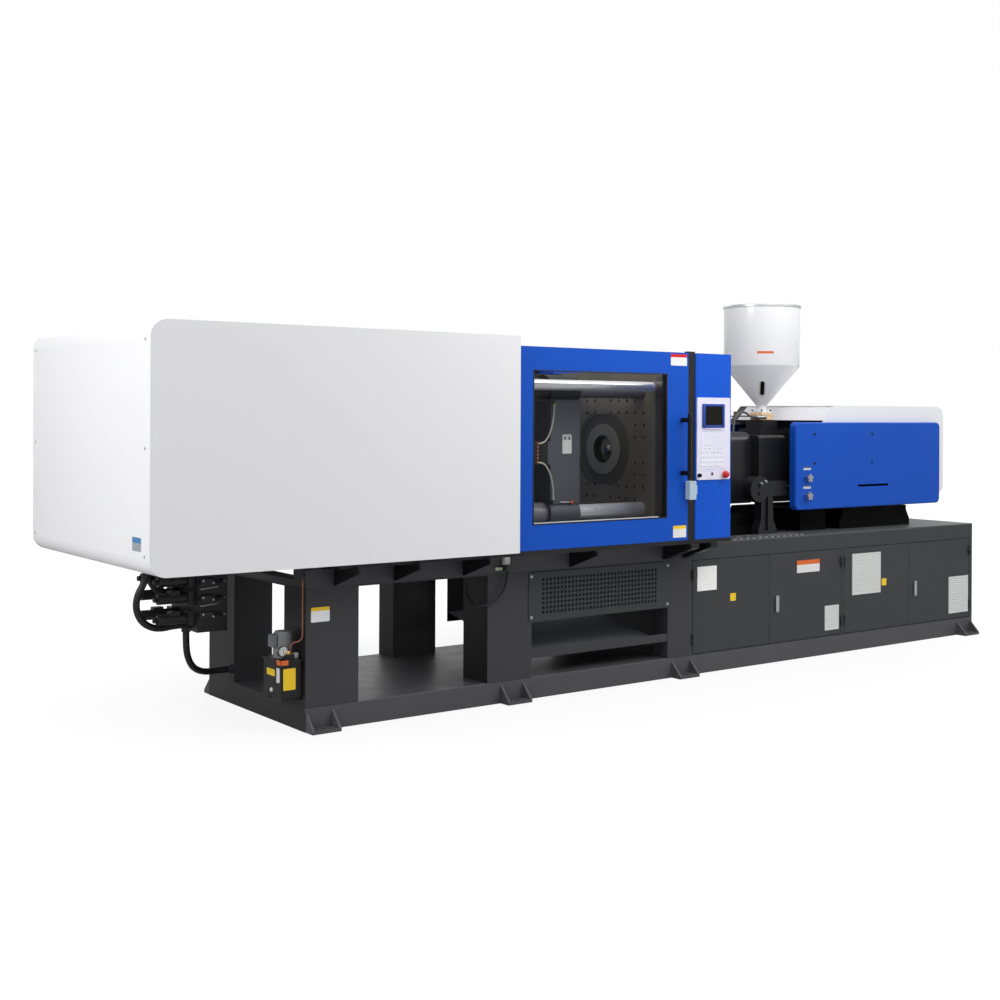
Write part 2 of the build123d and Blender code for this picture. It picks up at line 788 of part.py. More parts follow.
def gate_pan(left, right, windowed):
    # A folded sheet gate: outer skin, edge flanges and, in front, the window flange
    face = -GATE_FACE_Y
    inner = face + GATE_T
    skin = GATE_SKIN
    bottom = GATE_BOTTOM_Z
    pan = box(left, right, face, inner, bottom, GATE_TOP_Z)
    hollow = box(left + skin, right - skin, face + skin, inner, bottom + skin, GATE_TOP_Z - skin)
    if windowed:
        wl, wr = WINDOW_LEFT_X, WINDOW_RIGHT_X
        wb, wt = WINDOW_BOTTOM_Z, WINDOW_TOP_Z
        hollow -= box(wl - skin, wr + skin, face, inner, wb - skin, wt + skin)
        pan -= box(wl, wr, face, inner, wb, wt)
    return pan - hollow


def front_gate():
    # The windowed gate with its pull bar
    return gate_pan(GATE_LEFT_X, GATE_RIGHT_X, True) + gate_handle()


def rear_gate():
    # A plain gate with two pressed stiffening panels and its pull bar
    gate = mirrored_y(gate_pan(GATE_LEFT_X, GATE_RIGHT_X, False))
    mid = (GATE_LEFT_X + GATE_RIGHT_X) / 2
    half_gap = 50
    border = 110
    recess = 8
    face = GATE_FACE_Y
    for x0, x1 in ((GATE_LEFT_X + border, mid - half_gap), (mid + half_gap, GATE_RIGHT_X - border)):
        z0 = GATE_BOTTOM_Z + border
        z1 = GATE_TOP_Z - border
        gate += box(x0 - 3, x1 + 3, face - recess - 3, face - GATE_SKIN, z0 - 3, z1 + 3)
        gate -= box(x0, x1, face - recess, face, z0, z1)
    return gate + mirrored_y(gate_handle())


def gate_window():
    # The clear pane fills the opening, flush inside the window flange
    near = -GATE_FACE_Y + 10
    return box(WINDOW_LEFT_X, WINDOW_RIGHT_X, near, near + PANE_T, WINDOW_BOTTOM_Z, WINDOW_TOP_Z)


def gate_handle():
    face = -GATE_FACE_Y
    grip_y = face - HANDLE_REACH + HANDLE_R
    handle = bar_z(HANDLE_Z0, HANDLE_Z1, HANDLE_X, grip_y, HANDLE_R)
    handle = fillet(handle.edges(), HANDLE_R / 2)
    reach = (HANDLE_Z1 - HANDLE_Z0) / 2 - HANDLE_STUD_R - 22
    mid = (HANDLE_Z0 + HANDLE_Z1) / 2
    for z in (mid - reach, mid + reach):
        handle += bar_y(grip_y, face, HANDLE_X, z, HANDLE_STUD_R)
    return handle


def gate_bracket(x, width):
    # A cantilever bracket that carries the track and the edge of the cover
    track_bottom = TRACK_TOP_Z - TRACK_T
    lip = COVER_HALF_W - 6
    outline = [
        (-BASE_HALF_W, BEAM_BOTTOM_Z + 10),
        (-BASE_HALF_W, track_bottom),
        (-lip, track_bottom),
        (-lip, COVER_BOTTOM_Z),
        (-COVER_HALF_W, COVER_BOTTOM_Z),
        (-COVER_HALF_W, track_bottom - 22),
    ]
    if x > COVER_RIGHT_X:
        outline = outline[:3] + [(-lip, track_bottom - 22)]
    return slab_x(outline, x, x + width)


def gate_rails():
    # Tracks, brackets, the polished guide rod with its post, and the upper rail
    track_mid = GATE_FACE_Y - GATE_T / 2
    side = box(
        TRACK_LEFT_X,
        COLUMN_RIGHT_X,
        -track_mid - TRACK_W / 2,
        -track_mid + TRACK_W / 2,
        TRACK_TOP_Z - TRACK_T,
        TRACK_TOP_Z,
    )
    for x, width in BRACKETS:
        side += gate_bracket(x, width)
    rail_y = GATE_FACE_Y - GATE_T - 10
    rail_in = rail_y - TOP_RAIL_T
    side += box(TRACK_LEFT_X, COLUMN_LEFT_X, -rail_y, -rail_in, TOP_RAIL_Z, TOP_RAIL_Z + TOP_RAIL_H)
    side += box(TRACK_LEFT_X, TRACK_LEFT_X + 40, -rail_y, -rail_in, TRACK_TOP_Z - TRACK_T, TOP_RAIL_Z)
    side += box(TRACK_LEFT_X, TRACK_LEFT_X + 40, -track_mid, -BASE_HALF_W, TRACK_TOP_Z - TRACK_T, TRACK_TOP_Z)
    low_y = GATE_FACE_Y - GATE_T - 25
    side += box(
        TRACK_LEFT_X,
        COLUMN_LEFT_X,
        -low_y,
        -low_y + 15,
        TRACK_TOP_Z - TRACK_T,
        LOW_RAIL_TOP_Z,
    )
    post_x0 = GATE_RIGHT_X + 3
    side += box(post_x0, COLUMN_LEFT_X - 3, -GATE_FACE_Y + 6, -GATE_FACE_Y + 34, TRACK_TOP_Z, GATE_TOP_Z + 8)
    rails = side + mirrored_y(side)
    rod_end = FACE_X - GUIDE_END_L / 2
    rails += bar_x(GUIDE_ROD_LEFT_X, rod_end, -GUIDE_ROD_Y, GUIDE_ROD_Z, GUIDE_ROD_R)
    post = box(
        GUIDE_ROD_LEFT_X - 30,
        GUIDE_ROD_LEFT_X + 30,
        -GUIDE_ROD_Y - 40,
        -GUIDE_ROD_Y + 40,
        DECK_Z,
        GUIDE_ROD_Z + 45,
    )
    return rails + post


def guard_columns():
    # The control column at the front and the plain guard column behind
    x0, x1 = COLUMN_LEFT_X, COLUMN_RIGHT_X
    column = box(x0, x1, -GATE_FACE_Y, -GATE_FACE_Y + COLUMN_D, TRACK_TOP_Z, GATE_TOP_Z)
    column = fillet(column.edges().filter_by(Axis.Z), COLUMN_R)
    stem_x, stem_z = keyswitch_place()
    hole_y = -GATE_FACE_Y
    column -= bar_y(hole_y, hole_y + 40, *estop_place(), ESTOP_STEM_R + RUN_FIT)
    column -= bar_y(hole_y, hole_y + 24, stem_x, stem_z, KEYSWITCH_R * 0.6 + RUN_FIT)
    rear = mirrored_y(box(x0, x1, -GATE_FACE_Y, -GATE_FACE_Y + COLUMN_D, TRACK_TOP_Z, GATE_TOP_Z))
    rear = fillet(rear.edges().filter_by(Axis.Z), COLUMN_R)
    box_y = -GATE_FACE_Y - 4
    arm_x0 = SWITCH_BOX_X + SWITCH_BOX_W - SWITCH_ARM_LAP
    arm_x1 = COLUMN_LEFT_X + SWITCH_ARM_LAP
    arm_z0 = SWITCH_BOX_Z + SWITCH_BOX_H / 4
    arm = box(arm_x0, arm_x1, -GATE_FACE_Y, box_y, arm_z0, arm_z0 + SWITCH_BOX_H / 2)
    body = box(
        SWITCH_BOX_X,
        SWITCH_BOX_X + SWITCH_BOX_W,
        box_y - SWITCH_BOX_T,
        box_y,
        SWITCH_BOX_Z,
        SWITCH_BOX_Z + SWITCH_BOX_H,
    )
    body = fillet(body.edges().filter_by(Axis.Y), 5)
    return column + rear + arm + body


def estop_place():
    return PANEL_LEFT_X + PANEL_W - 45, PANEL_BOTTOM_Z + 27


def keyswitch_place():
    return PANEL_LEFT_X + 13, PANEL_BOTTOM_Z + 25


def control_panel():
    # The faceplate with its screen frame, key pads and the two through holes
    y = -GATE_FACE_Y
    panel = box(PANEL_LEFT_X, PANEL_LEFT_X + PANEL_W, y - PANEL_T, y, PANEL_BOTTOM_Z, PANEL_BOTTOM_Z + PANEL_H)
    panel = fillet(panel.edges().filter_by(Axis.Y), 8)
    mid = PANEL_LEFT_X + PANEL_W / 2
    top = PANEL_BOTTOM_Z + PANEL_H - SCREEN_TOP_INSET
    frame = box(mid - SCREEN_W / 2, mid + SCREEN_W / 2, y - PANEL_T - SCREEN_PROUD, y - PANEL_T, top - SCREEN_H, top)
    frame -= box(
        mid - SCREEN_W / 2 + 12,
        mid + SCREEN_W / 2 - 12,
        y - PANEL_T - SCREEN_PROUD,
        y - PANEL_T - 1,
        top - SCREEN_H + 12,
        top - 12,
    )
    panel += frame
    first_x = mid - KEY_PITCH_X * (KEY_COLS - 1) / 2
    first_z = top - SCREEN_H - 42
    for col in range(KEY_COLS):
        for row in range(KEY_ROWS):
            x = first_x + col * KEY_PITCH_X
            z = first_z - row * KEY_PITCH_Z
            panel += Pos(x, y - PANEL_T - KEY_PROUD / 2, z) * Box(KEY_W, KEY_PROUD, KEY_H)
    stem_x, stem_z = keyswitch_place()
    panel -= bar_y(y - PANEL_T, y, *estop_place(), ESTOP_STEM_R + RUN_FIT)
    panel -= bar_y(y - PANEL_T, y, stem_x, stem_z, KEYSWITCH_R * 0.6 + RUN_FIT)
    return panel


def estop_button():
    # A mushroom head on its stem, turned from one profile
    x, z = estop_place()
    lift = ESTOP_TRAVEL + GAP
    profile = [
        (0, -34),
        (ESTOP_STEM_R, -34),
        (ESTOP_STEM_R, lift),
        (ESTOP_R, lift + 3),
        (ESTOP_R, ESTOP_PROUD - 12),
        (ESTOP_R - 5, ESTOP_PROUD - 4),
        (ESTOP_R - 12, ESTOP_PROUD),
        (0, ESTOP_PROUD),
    ]
    face = make_face(Polyline(*[(r, 0, h) for r, h in profile], close=True))
    return Pos(x, -PANEL_FACE_Y, z) * Rot(90, 0, 0) * revolve(face, Axis.Z)


def key_switch():
    x, z = keyswitch_place()
    y = -PANEL_FACE_Y
    barrel = bar_y(y - GAP, y + 22, x, z, KEYSWITCH_R * 0.6)
    head = bar_y(y - GAP - 6, y - GAP, x, z, KEYSWITCH_R)
    key = box(x - 1.5, x + 1.5, y - GAP - 22, y - GAP - 6, z - 8, z + 8)
    return barrel + head + key


def tie_bars():
    # Four tie bars, with a nut behind the fixed platen on each
    group = []
    for y, z in TIE_POINTS:
        bar = bar_x(TIE_LEFT_X, FIXED_BACK_X + TIE_NUT_L, y, AXIS_Z + z, TIE_R)
        nut = bar_x(FIXED_BACK_X, FIXED_BACK_X + TIE_NUT_L - 10, y, AXIS_Z + z, TIE_NUT_R)
        group.append(bar + nut)
    return Compound(children=group)


def tap_points():
    # Tapped holes of both platens: grid points outside the locating ring
    near = [(a, b) for a in range(1, 6) for b in range(1, 5)]
    near = [(a, b) for a, b in near if (a > 3 or b > 2) and a + b < 9]
    signs = [(sy, sz) for sy in (-1, 1) for sz in (-1, 1)]
    return [(sy * a * TAP_PITCH, sz * b * TAP_PITCH) for a, b in near for sy, sz in signs]


def fixed_platen():
    half = FIXED_HALF
    body = box(FACE_X, FIXED_BACK_X, -half, half, AXIS_Z - half, AXIS_Z + half)
    body = fillet(body.edges().filter_by(Axis.X), FIXED_CORNER_R)
    for side in (-1, 1):
        y0, y1 = sorted((side * SHOE_IN, side * SHOE_OUT))
        body += box(FACE_X, FIXED_BACK_X, y0, y1, DECK_Z, AXIS_Z - half + SHOE_H / 2)
    ear = bar_x(FACE_X + GUIDE_END_L / 2, FIXED_BACK_X, -GUIDE_ROD_Y, GUIDE_ROD_Z, GUIDE_END_R + 8)
    ear += bar_x(FACE_X - GUIDE_END_L / 2, FACE_X + GUIDE_END_L / 2, -GUIDE_ROD_Y, GUIDE_ROD_Z, GUIDE_END_R)
    body += ear
    for y, z in TIE_POINTS:
        body -= bar_x(FACE_X, FIXED_BACK_X, y, AXIS_Z + z, TIE_R)
    cone_l = FIXED_T - LOCATING_DEPTH
    cone = Pos(FIXED_BACK_X - cone_l / 2, 0, AXIS_Z) * Rot(0, 90, 0)
    body -= cone * Cone(LOCATING_R - 10, NOZZLE_CONE_R, cone_l)
    body -= bar_x(FACE_X, FACE_X + LOCATING_DEPTH, 0, AXIS_Z, LOCATING_R)
    groove = bar_x(FACE_X, FACE_X + RING_GROOVE, 0, AXIS_Z, RING_OUT_R)
    groove -= bar_x(FACE_X, FACE_X + RING_GROOVE, 0, AXIS_Z, RING_IN_R)
    body -= groove
    for y, z in tap_points():
        body -= bar_x(FACE_X, FACE_X + TAP_DEPTH, y, AXIS_Z + z, TAP_R)
    return body


def cross_outline(half, web, narrow, tall):
    # A platen's outline in Y and Z: a wide web, a tall web and round tie-bar bosses
    outline = Rectangle(2 * half, web) + Rectangle(narrow, tall) + Rectangle(TIE_SPACING, TIE_SPACING)
    for y, z in TIE_POINTS:
        outline += Pos(y, z) * Circle(BOSS_R)
    return outline


def platen_body(x0, x1, half, web, narrow, tall):
    plane = Plane(origin=(x0, 0, AXIS_Z), x_dir=(0, 1, 0), z_dir=(1, 0, 0))
    return extrude(plane * cross_outline(half, web, narrow, tall), amount=x1 - x0)


def slide_shoes(x0, x1):
    # Feet that run on the frame's beams
    shoes = box(x0, x1, -SHOE_OUT, -SHOE_IN, DECK_Z + GAP, DECK_Z + SHOE_H)
    return shoes + mirrored_y(shoes)


def moving_platen():
    body = platen_body(MOVING_BACK_X, MOVING_FACE_X, MOVING_HALF, MOVING_WEB_H, MOVING_NARROW, MOVING_TALL)
    body += slide_shoes(MOVING_BACK_X, MOVING_FACE_X)
    for y, z in TIE_POINTS:
        body += bar_x(MOVING_BACK_X - BUSH_BACK, MOVING_BACK_X, y, AXIS_Z + z, BUSH_R)
        body -= bar_x(MOVING_BACK_X - BUSH_BACK, MOVING_FACE_X, y, AXIS_Z + z, TIE_R + RUN_FIT)
    for side in (-1, 1):
        body += pin_lugs(side)
        pocket_x = MOVING_BACK_X + EJECTOR_POCKET
        half_w = EJECTOR_PLATE_W / 2 + EJECTOR_SIDE_GAP
        half_h = EJECTOR_PLATE_H / 2 + EJECTOR_SIDE_GAP
        near_y, far_y = sorted((0, side * half_w))
        body -= box(MOVING_BACK_X, pocket_x, near_y, far_y, AXIS_Z - half_h, AXIS_Z + half_h)
        body += bar_x(pocket_x - EJECTOR_CYL_L, pocket_x, side * EJECTOR_CYL_Y, AXIS_Z, EJECTOR_CYL_R)
    body -= bar_x(MOVING_BACK_X, MOVING_FACE_X, 0, AXIS_Z, EJECTOR_ROD_R + RUN_FIT)
    for y, z in tap_points():
        body -= bar_x(MOVING_FACE_X - TAP_DEPTH, MOVING_FACE_X, y, AXIS_Z + z, TAP_R)
    body += grease_block()
    return body


def pin_lugs(side):
    # Lugs and pin that carry one front link on the back of the moving platen
    z = AXIS_Z + side * PIVOT_RISE
    inner, outer = 20, FRONT_LINK_Y0 - 2
    lugs = None
    for y0 in (-outer, inner):
        plate = box(PLATEN_PIN_X, MOVING_BACK_X, y0, y0 + outer - inner, z - LINK_EYE_R, z + LINK_EYE_R)
        plate += bar_y(y0, y0 + outer - inner, PLATEN_PIN_X, z, LINK_EYE_R)
        lugs = plate if lugs is None else lugs + plate
    return lugs + bar_y(-FRONT_LINK_Y1, FRONT_LINK_Y1, PLATEN_PIN_X, z, PIN_R)


def grease_block():
    # The grease distributor with its ports, and the fittings at the tubes' far ends
    x0 = GREASE_BLOCK_X
    x1 = x0 + GREASE_BLOCK_W
    y = -MOVING_HALF
    low = GREASE_ROUTES["grease_tube_2"][0][2]
    block = box(x0, MOVING_BACK_X, y, y + 12, low - 12, low + 112)
    block += box(x0, x1, y - GREASE_BLOCK_T, y, low - 12, low + 112)
    for port in range(6):
        z = low + port * GREASE_PORT_PITCH
        block += bar_x(x1, x1 + GREASE_PORT_L, GREASE_ROUTES["grease_tube_2"][0][1], z, 6)
    for name, side in (("grease_tube_1", 1), ("grease_tube_2", -1)):
        x, _, z = GREASE_ROUTES[name][-1]
        block += box(x - 8, x + 8, y - GREASE_BLOCK_T, y, min(z, z + side * 18), max(z, z + side * 18))
    return block


def ejector():
    # The ejector plate behind the platen, with the rod through its centre
    back = MOVING_BACK_X - EJECTOR_STANDOFF
    plate = box(
        back - EJECTOR_PLATE_T,
        back,
        -EJECTOR_PLATE_W / 2,
        EJECTOR_PLATE_W / 2,
        AXIS_Z - EJECTOR_PLATE_H / 2,
        AXIS_Z + EJECTOR_PLATE_H / 2,
    )
    return plate + bar_x(back, MOVING_FACE_X - 2, 0, AXIS_Z, EJECTOR_ROD_R)


def tail_stock():
    # The tail stock with its adjusting nuts, ring gear and pin lugs
    body = platen_body(TAIL_BACK_X, TAIL_FACE_X, MOVING_HALF, MOVING_WEB_H, MOVING_NARROW, MOVING_TALL)
    body += slide_shoes(TAIL_BACK_X, TAIL_FACE_X)
    nut_x = TAIL_BACK_X - ADJUST_NUT_L
    for y, z in TIE_POINTS:
        body += bar_x(nut_x, TAIL_BACK_X, y, AXIS_Z + z, ADJUST_NUT_R)
        body -= bar_x(nut_x, TAIL_FACE_X, y, AXIS_Z + z, TIE_R + RUN_FIT)
    gear_x = TAIL_BACK_X - RING_GEAR_T
    gear = bar_x(gear_x, TAIL_BACK_X, 0, AXIS_Z, RING_GEAR_R)
    body += gear - bar_x(gear_x, TAIL_BACK_X, 0, AXIS_Z, RING_GEAR_R - RING_GEAR_RIM)
    for side in (-1, 1):
        z = AXIS_Z + side * PIVOT_RISE
        half = FRONT_LINK_Y0 - 2
        body += box(TAIL_FACE_X, TAIL_PIN_X, -half, half, z - LINK_EYE_R, z + LINK_EYE_R)
        body += bar_y(-half, half, TAIL_PIN_X, z, LINK_EYE_R)
        body += bar_y(-REAR_LINK_Y1, REAR_LINK_Y1, TAIL_PIN_X, z, PIN_R)
        rod_y = side * CROSSHEAD_ROD_Y
        body -= bar_x(TAIL_BACK_X, TAIL_FACE_X, rod_y, AXIS_Z, CROSSHEAD_ROD_R + RUN_FIT)
    body -= bar_x(TAIL_BACK_X, TAIL_FACE_X, 0, AXIS_Z, CLAMP_ROD_R + RUN_FIT)
    return body


def clamp_cylinder():
    # The clamp cylinder behind the tail stock, with its end flange
    x1 = TAIL_BACK_X
    x0 = x1 - CLAMP_CYL_L
    body = bar_x(x0, x1, 0, AXIS_Z, CLAMP_CYL_R)
    body += bar_x(x1 - 36, x1, 0, AXIS_Z, CLAMP_CYL_R + 40)
    bore = CLAMP_CYL_R - CLAMP_CYL_WALL
    body -= bar_x(x0 + 30, x1 - 36, 0, AXIS_Z, bore)
    body -= bar_x(x1 - 36, x1, 0, AXIS_Z, CLAMP_ROD_R + RUN_FIT)
    return body


def crosshead():
    # The crosshead with its guide rods, the cross links' pins and the piston rod
    x0 = CROSSHEAD_X - CROSSHEAD_T / 2
    x1 = CROSSHEAD_X + CROSSHEAD_T / 2
    half = CROSSHEAD_ROD_Y + CROSSHEAD_ROD_R + 18
    body = box(x0, x1, -half, half, AXIS_Z - CROSSHEAD_H / 2, AXIS_Z + CROSSHEAD_H / 2)
    cheek = CROSS_PIN_RISE + CROSS_EYE_R
    inner = CROSS_LINK_Y1 + 3
    for side in (-1, 1):
        y0, y1 = sorted((side * inner, side * (inner + CROSSHEAD_CHEEK)))
        body += box(x0, x1, y0, y1, AXIS_Z - cheek, AXIS_Z + cheek)
        for rise in (-CROSS_PIN_RISE, CROSS_PIN_RISE):
            pin_in = side * (CROSS_LINK_Y0 - 1)
            body += bar_y(min(pin_in, y0), max(pin_in, y1), CROSSHEAD_X, AXIS_Z + rise, CROSS_PIN_R)
        body += bar_x(TAIL_BACK_X - CROSSHEAD_ROD_BACK, x0, side * CROSSHEAD_ROD_Y, AXIS_Z, CROSSHEAD_ROD_R)
    piston_x = TAIL_BACK_X - CLAMP_CYL_L / 2
    body += bar_x(piston_x, x0, 0, AXIS_Z, CLAMP_ROD_R)
    bore = CLAMP_CYL_R - CLAMP_CYL_WALL
    return body + bar_x(piston_x - PISTON_T, piston_x, 0, AXIS_Z, bore - RUN_FIT)


def link_plate(length, width, eye_r, bore_r, end_r, y0, y1):
    # A link lying along +X from its bored eye, with a boss at the far end
    plate = box(0, length, y0, y1, -width / 2, width / 2)
    plate += bar_y(y0, y1, 0, 0, eye_r)
    plate += bar_y(y0, y1, length, 0, end_r)
    return plate - bar_y(y0, y1, 0, 0, bore_r + RUN_FIT)


def place_link(link, x, rise, angle):
    # Turns a link up from +X by an angle and sets its eye on a pin
    return Pos(x, 0, AXIS_Z + rise) * Rot(0, -angle, 0) * link


def paired(link_half):
    return link_half + mirrored_y(link_half)


def rear_link():
    # Two plates joined by a spacer, with a boss on each where the cross link meets it
    half = link_plate(LINK_L, LINK_W, LINK_EYE_R, PIN_R, LINK_EYE_R - 6, REAR_LINK_Y0, REAR_LINK_Y1)
    half += bar_y(REAR_LINK_Y0, REAR_LINK_Y1, EAR_AT, 0, CROSS_EYE_R + 4)
    return paired(half) + bar_y(-REAR_LINK_Y0, REAR_LINK_Y0, SPACER_AT, 0, SPACER_R)


def front_link():
    # Two plates from the platen's pin towards the knee, joined near the knee
    half = link_plate(LINK_L, LINK_W, LINK_EYE_R, PIN_R, LINK_EYE_R - 6, FRONT_LINK_Y0, FRONT_LINK_Y1)
    spacer = bar_y(-FRONT_LINK_Y0, FRONT_LINK_Y0, LINK_L, 0, SPACER_R)
    return paired(half) + spacer


def cross_link():
    eye = CROSS_EYE_R
    half = link_plate(CROSS_LINK_L, CROSS_LINK_W, eye, CROSS_PIN_R, eye - 6, CROSS_LINK_Y0, CROSS_LINK_Y1)
    return paired(half)


def carriage_rods():
    # Polished rods from the fixed platen to the pedestal, on which the carriage slides
    rods = bar_x(FIXED_BACK_X, CARRIAGE_ROD_RIGHT_X, -CARRIAGE_ROD_Y, CARRIAGE_ROD_Z, CARRIAGE_ROD_R)
    return Compound(children=[rods, mirrored_y(rods)])


def pedestals():
    # The raised bed in front, a low pad, and the flared pedestal for the rods' ends
    bed = box(FRAME_RIGHT_X, PLINTH_RIGHT_X, -PLINTH_HALF, PLINTH_HALF, DECK_Z, DECK_Z + PLINTH_H)
    bed = fillet(bed.edges().filter_by(Axis.X).sort_by(Axis.Z)[-2:], 24)
    bed += box(FRAME_RIGHT_X, PLINTH_RIGHT_X, -PLINTH_HALF - 24, PLINTH_HALF + 24, DECK_Z, DECK_Z + 60)
    pad = box(PAD_X, PAD_X + PAD_L, -PAD_HALF, PAD_HALF, DECK_Z, PAD_TOP_Z)
    pad = fillet(pad.edges().filter_by(Axis.Y).sort_by(Axis.Z)[-2:], 20)
    flare = PEDESTAL_FLARE
    outline = [
        (PEDESTAL_LEFT_X - flare, DECK_Z),
        (PEDESTAL_RIGHT_X + flare, DECK_Z),
        (PEDESTAL_RIGHT_X + flare, DECK_Z + 40),
        (PEDESTAL_RIGHT_X, PEDESTAL_TOP_Z - 30),
        (PEDESTAL_RIGHT_X, PEDESTAL_TOP_Z),
        (PEDESTAL_LEFT_X, PEDESTAL_TOP_Z),
        (PEDESTAL_LEFT_X, PEDESTAL_TOP_Z - 30),
        (PEDESTAL_LEFT_X - flare, DECK_Z + 40),
    ]
    block = slab_y(outline, -PEDESTAL_HALF, PEDESTAL_HALF)
    right = CARRIAGE_ROD_RIGHT_X
    top = CARRIAGE_ROD_Z + CARRIAGE_ROD_R + 18
    reach = CARRIAGE_ROD_R + 18
    for side in (-1, 1):
        y = side * CARRIAGE_ROD_Y
        block += box(right, right + 50, y - reach, y + reach, PEDESTAL_TOP_Z, top)
    return Compound(children=[bed, pad, block])


def carriage_housing():
    # Feed housing, rear plate, injection cylinders and the plate behind the motor
    half = HOUSING_HALF
    body = box(HOUSING_LEFT_X, HOUSING_RIGHT_X, -half, half, HOUSING_BOTTOM_Z, HOUSING_TOP_Z)
    body = fillet(body.edges().filter_by(Axis.X).sort_by(Axis.Z)[-2:], 20)
    body += box(HOUSING_RIGHT_X, BARREL_RIGHT_X, -THROAT_HALF, THROAT_HALF, AXIS_Z - 110, AXIS_Z + 110)
    body += box(THROAT_X - 70, THROAT_X + 70, -70, 70, AXIS_Z, BLOCK_BOTTOM_Z)
    body += box(BARREL_RIGHT_X, INJ_CYL_LEFT_X, -half, half, HOUSING_BOTTOM_Z, HOUSING_TOP_Z + 40)
    body += box(HOUSING_RIGHT_X, BARREL_RIGHT_X, -half, half, HOUSING_BOTTOM_Z, HOUSING_BOTTOM_Z + 50)
    cyl_x1 = INJ_CYL_LEFT_X + INJ_CYL_L
    plate_x1 = BACK_PLATE_X + BACK_PLATE_T
    outer = BACK_PLATE_HALF
    roof = HOOD_TOP_Z - HOOD_WALL
    plate = box(BACK_PLATE_X, plate_x1, -outer, outer, HOUSING_BOTTOM_Z + 30, roof)
    body += plate - bar_x(BACK_PLATE_X, plate_x1, 0, AXIS_Z, MOTOR_R + 20)
    body += box(HOOD_REST_X, HOOD_REST_X + 16, -half, half, HOUSING_TOP_Z + 2, roof)
    for side in (-1, 1):
        body += bar_x(INJ_CYL_LEFT_X, cyl_x1, side * INJ_CYL_Y, AXIS_Z, INJ_CYL_R)
        body -= bar_x(INJ_CYL_LEFT_X + 40, cyl_x1, side * INJ_CYL_Y, AXIS_Z, INJ_ROD_R + RUN_FIT)
        for z in (HOUSING_BOTTOM_Z + 70, HOUSING_TOP_Z + 10):
            body += bar_x(INJ_CYL_LEFT_X, BACK_PLATE_X, side * (half - 22), z, 18)
        body -= bar_x(HOUSING_LEFT_X, INJ_CYL_LEFT_X, side * CARRIAGE_ROD_Y, CARRIAGE_ROD_Z, CARRIAGE_ROD_R + RUN_FIT)
    body -= bar_x(HOUSING_LEFT_X, BARREL_RIGHT_X, 0, AXIS_Z, BARREL_R)
    body -= bar_x(BARREL_RIGHT_X, INJ_CYL_LEFT_X, 0, AXIS_Z, MELT_BORE_R + 8)
    body -= bar_z(AXIS_Z, BLOCK_BOTTOM_Z, THROAT_X, 0, FEED_R)
    gland_x = HOUSING_LEFT_X + 26
    body += box(gland_x - 14, gland_x + 14, -74, -46, HOUSING_TOP_Z, HOUSING_TOP_Z + 12)
    return body


def front_feet():
    # A foot on each side that runs on the deck and carries the front of the carriage
    y0 = -CASTING_Y
    y1 = y0 + CASTING_T
    half = CASTING_LEG_W / 2
    foot = CASTING_FOOT_W / 2
    bottom = DECK_Z + STEP_T + GAP
    mid = BOSS_X + CASTING_LEG_OFFSET
    leg_outline = [
        (mid - foot, bottom),
        (mid + foot, bottom),
        (mid + foot, bottom + 24),
        (mid + half, bottom + 86),
        (mid + half - 6, BOSS_Z),
        (mid - half, BOSS_Z),
        (mid - half - 6, bottom + 86),
        (mid - foot, bottom + 24),
    ]
    body = slab_y(leg_outline, y0 + 12, y1)
    body += bar_y(y0, y1, BOSS_X, BOSS_Z, BOSS_DISC_R)
    arm_top = BOSS_Z + CASTING_ARM_H / 2
    body += box(BOSS_X, CASTING_ARM_RIGHT_X, y0 + 18, y1, arm_top - CASTING_ARM_H, arm_top)
    body += slab_y([(mid - 10, bottom + 24), (mid + 10, bottom + 24), (mid + 8, BOSS_Z), (mid - 8, BOSS_Z)], y0, y0 + 12)
    for z in (BOSS_Z - 24, BOSS_Z + 24):
        body += bar_y(y0 - 8, y0, BOSS_X, z, 11)
    body += box(HOUSING_LEFT_X + 16, CASTING_ARM_RIGHT_X, y1, -HOUSING_HALF, arm_top - CASTING_ARM_H, arm_top)
    return Compound(children=[body, mirrored_y(body)])


def barrel():
    # The barrel with its end cap and nozzle, bored for the screw
    body = bar_x(BARREL_LEFT_X, BARREL_RIGHT_X, 0, AXIS_Z, BARREL_R)
    cap_left = BARREL_LEFT_X - 60
    body += bar_x(cap_left, BARREL_LEFT_X, 0, AXIS_Z, BARREL_CAP_R)
    body += bar_x(cap_left - 34, cap_left, 0, AXIS_Z, NOZZLE_HEX_R)
    stem_left = NOZZLE_TIP_X + 14
    body += bar_x(stem_left, cap_left - 34, 0, AXIS_Z, NOZZLE_R)
    tip = Pos((NOZZLE_TIP_X + stem_left) / 2, 0, AXIS_Z) * Rot(0, 90, 0)
    body += tip * Cone(NOZZLE_TIP_R, NOZZLE_R, stem_left - NOZZLE_TIP_X)
    body -= bar_x(NOZZLE_TIP_X, BARREL_LEFT_X, 0, AXIS_Z, 4)
    body -= bar_x(BARREL_LEFT_X, BARREL_RIGHT_X, 0, AXIS_Z, MELT_BORE_R)
    body -= bar_z(AXIS_Z, AXIS_Z + BARREL_R, THROAT_X, 0, FEED_R)
    first = BARREL_LEFT_X + BAND_GAP
    for band in range(BAND_COUNT):
        x0 = first + band * (BAND_L + BAND_GAP)
        ring = bar_x(x0, x0 + BAND_L, 0, AXIS_Z, BAND_R)
        body += ring - bar_x(x0, x0 + BAND_L, 0, AXIS_Z, BARREL_R)
    return body


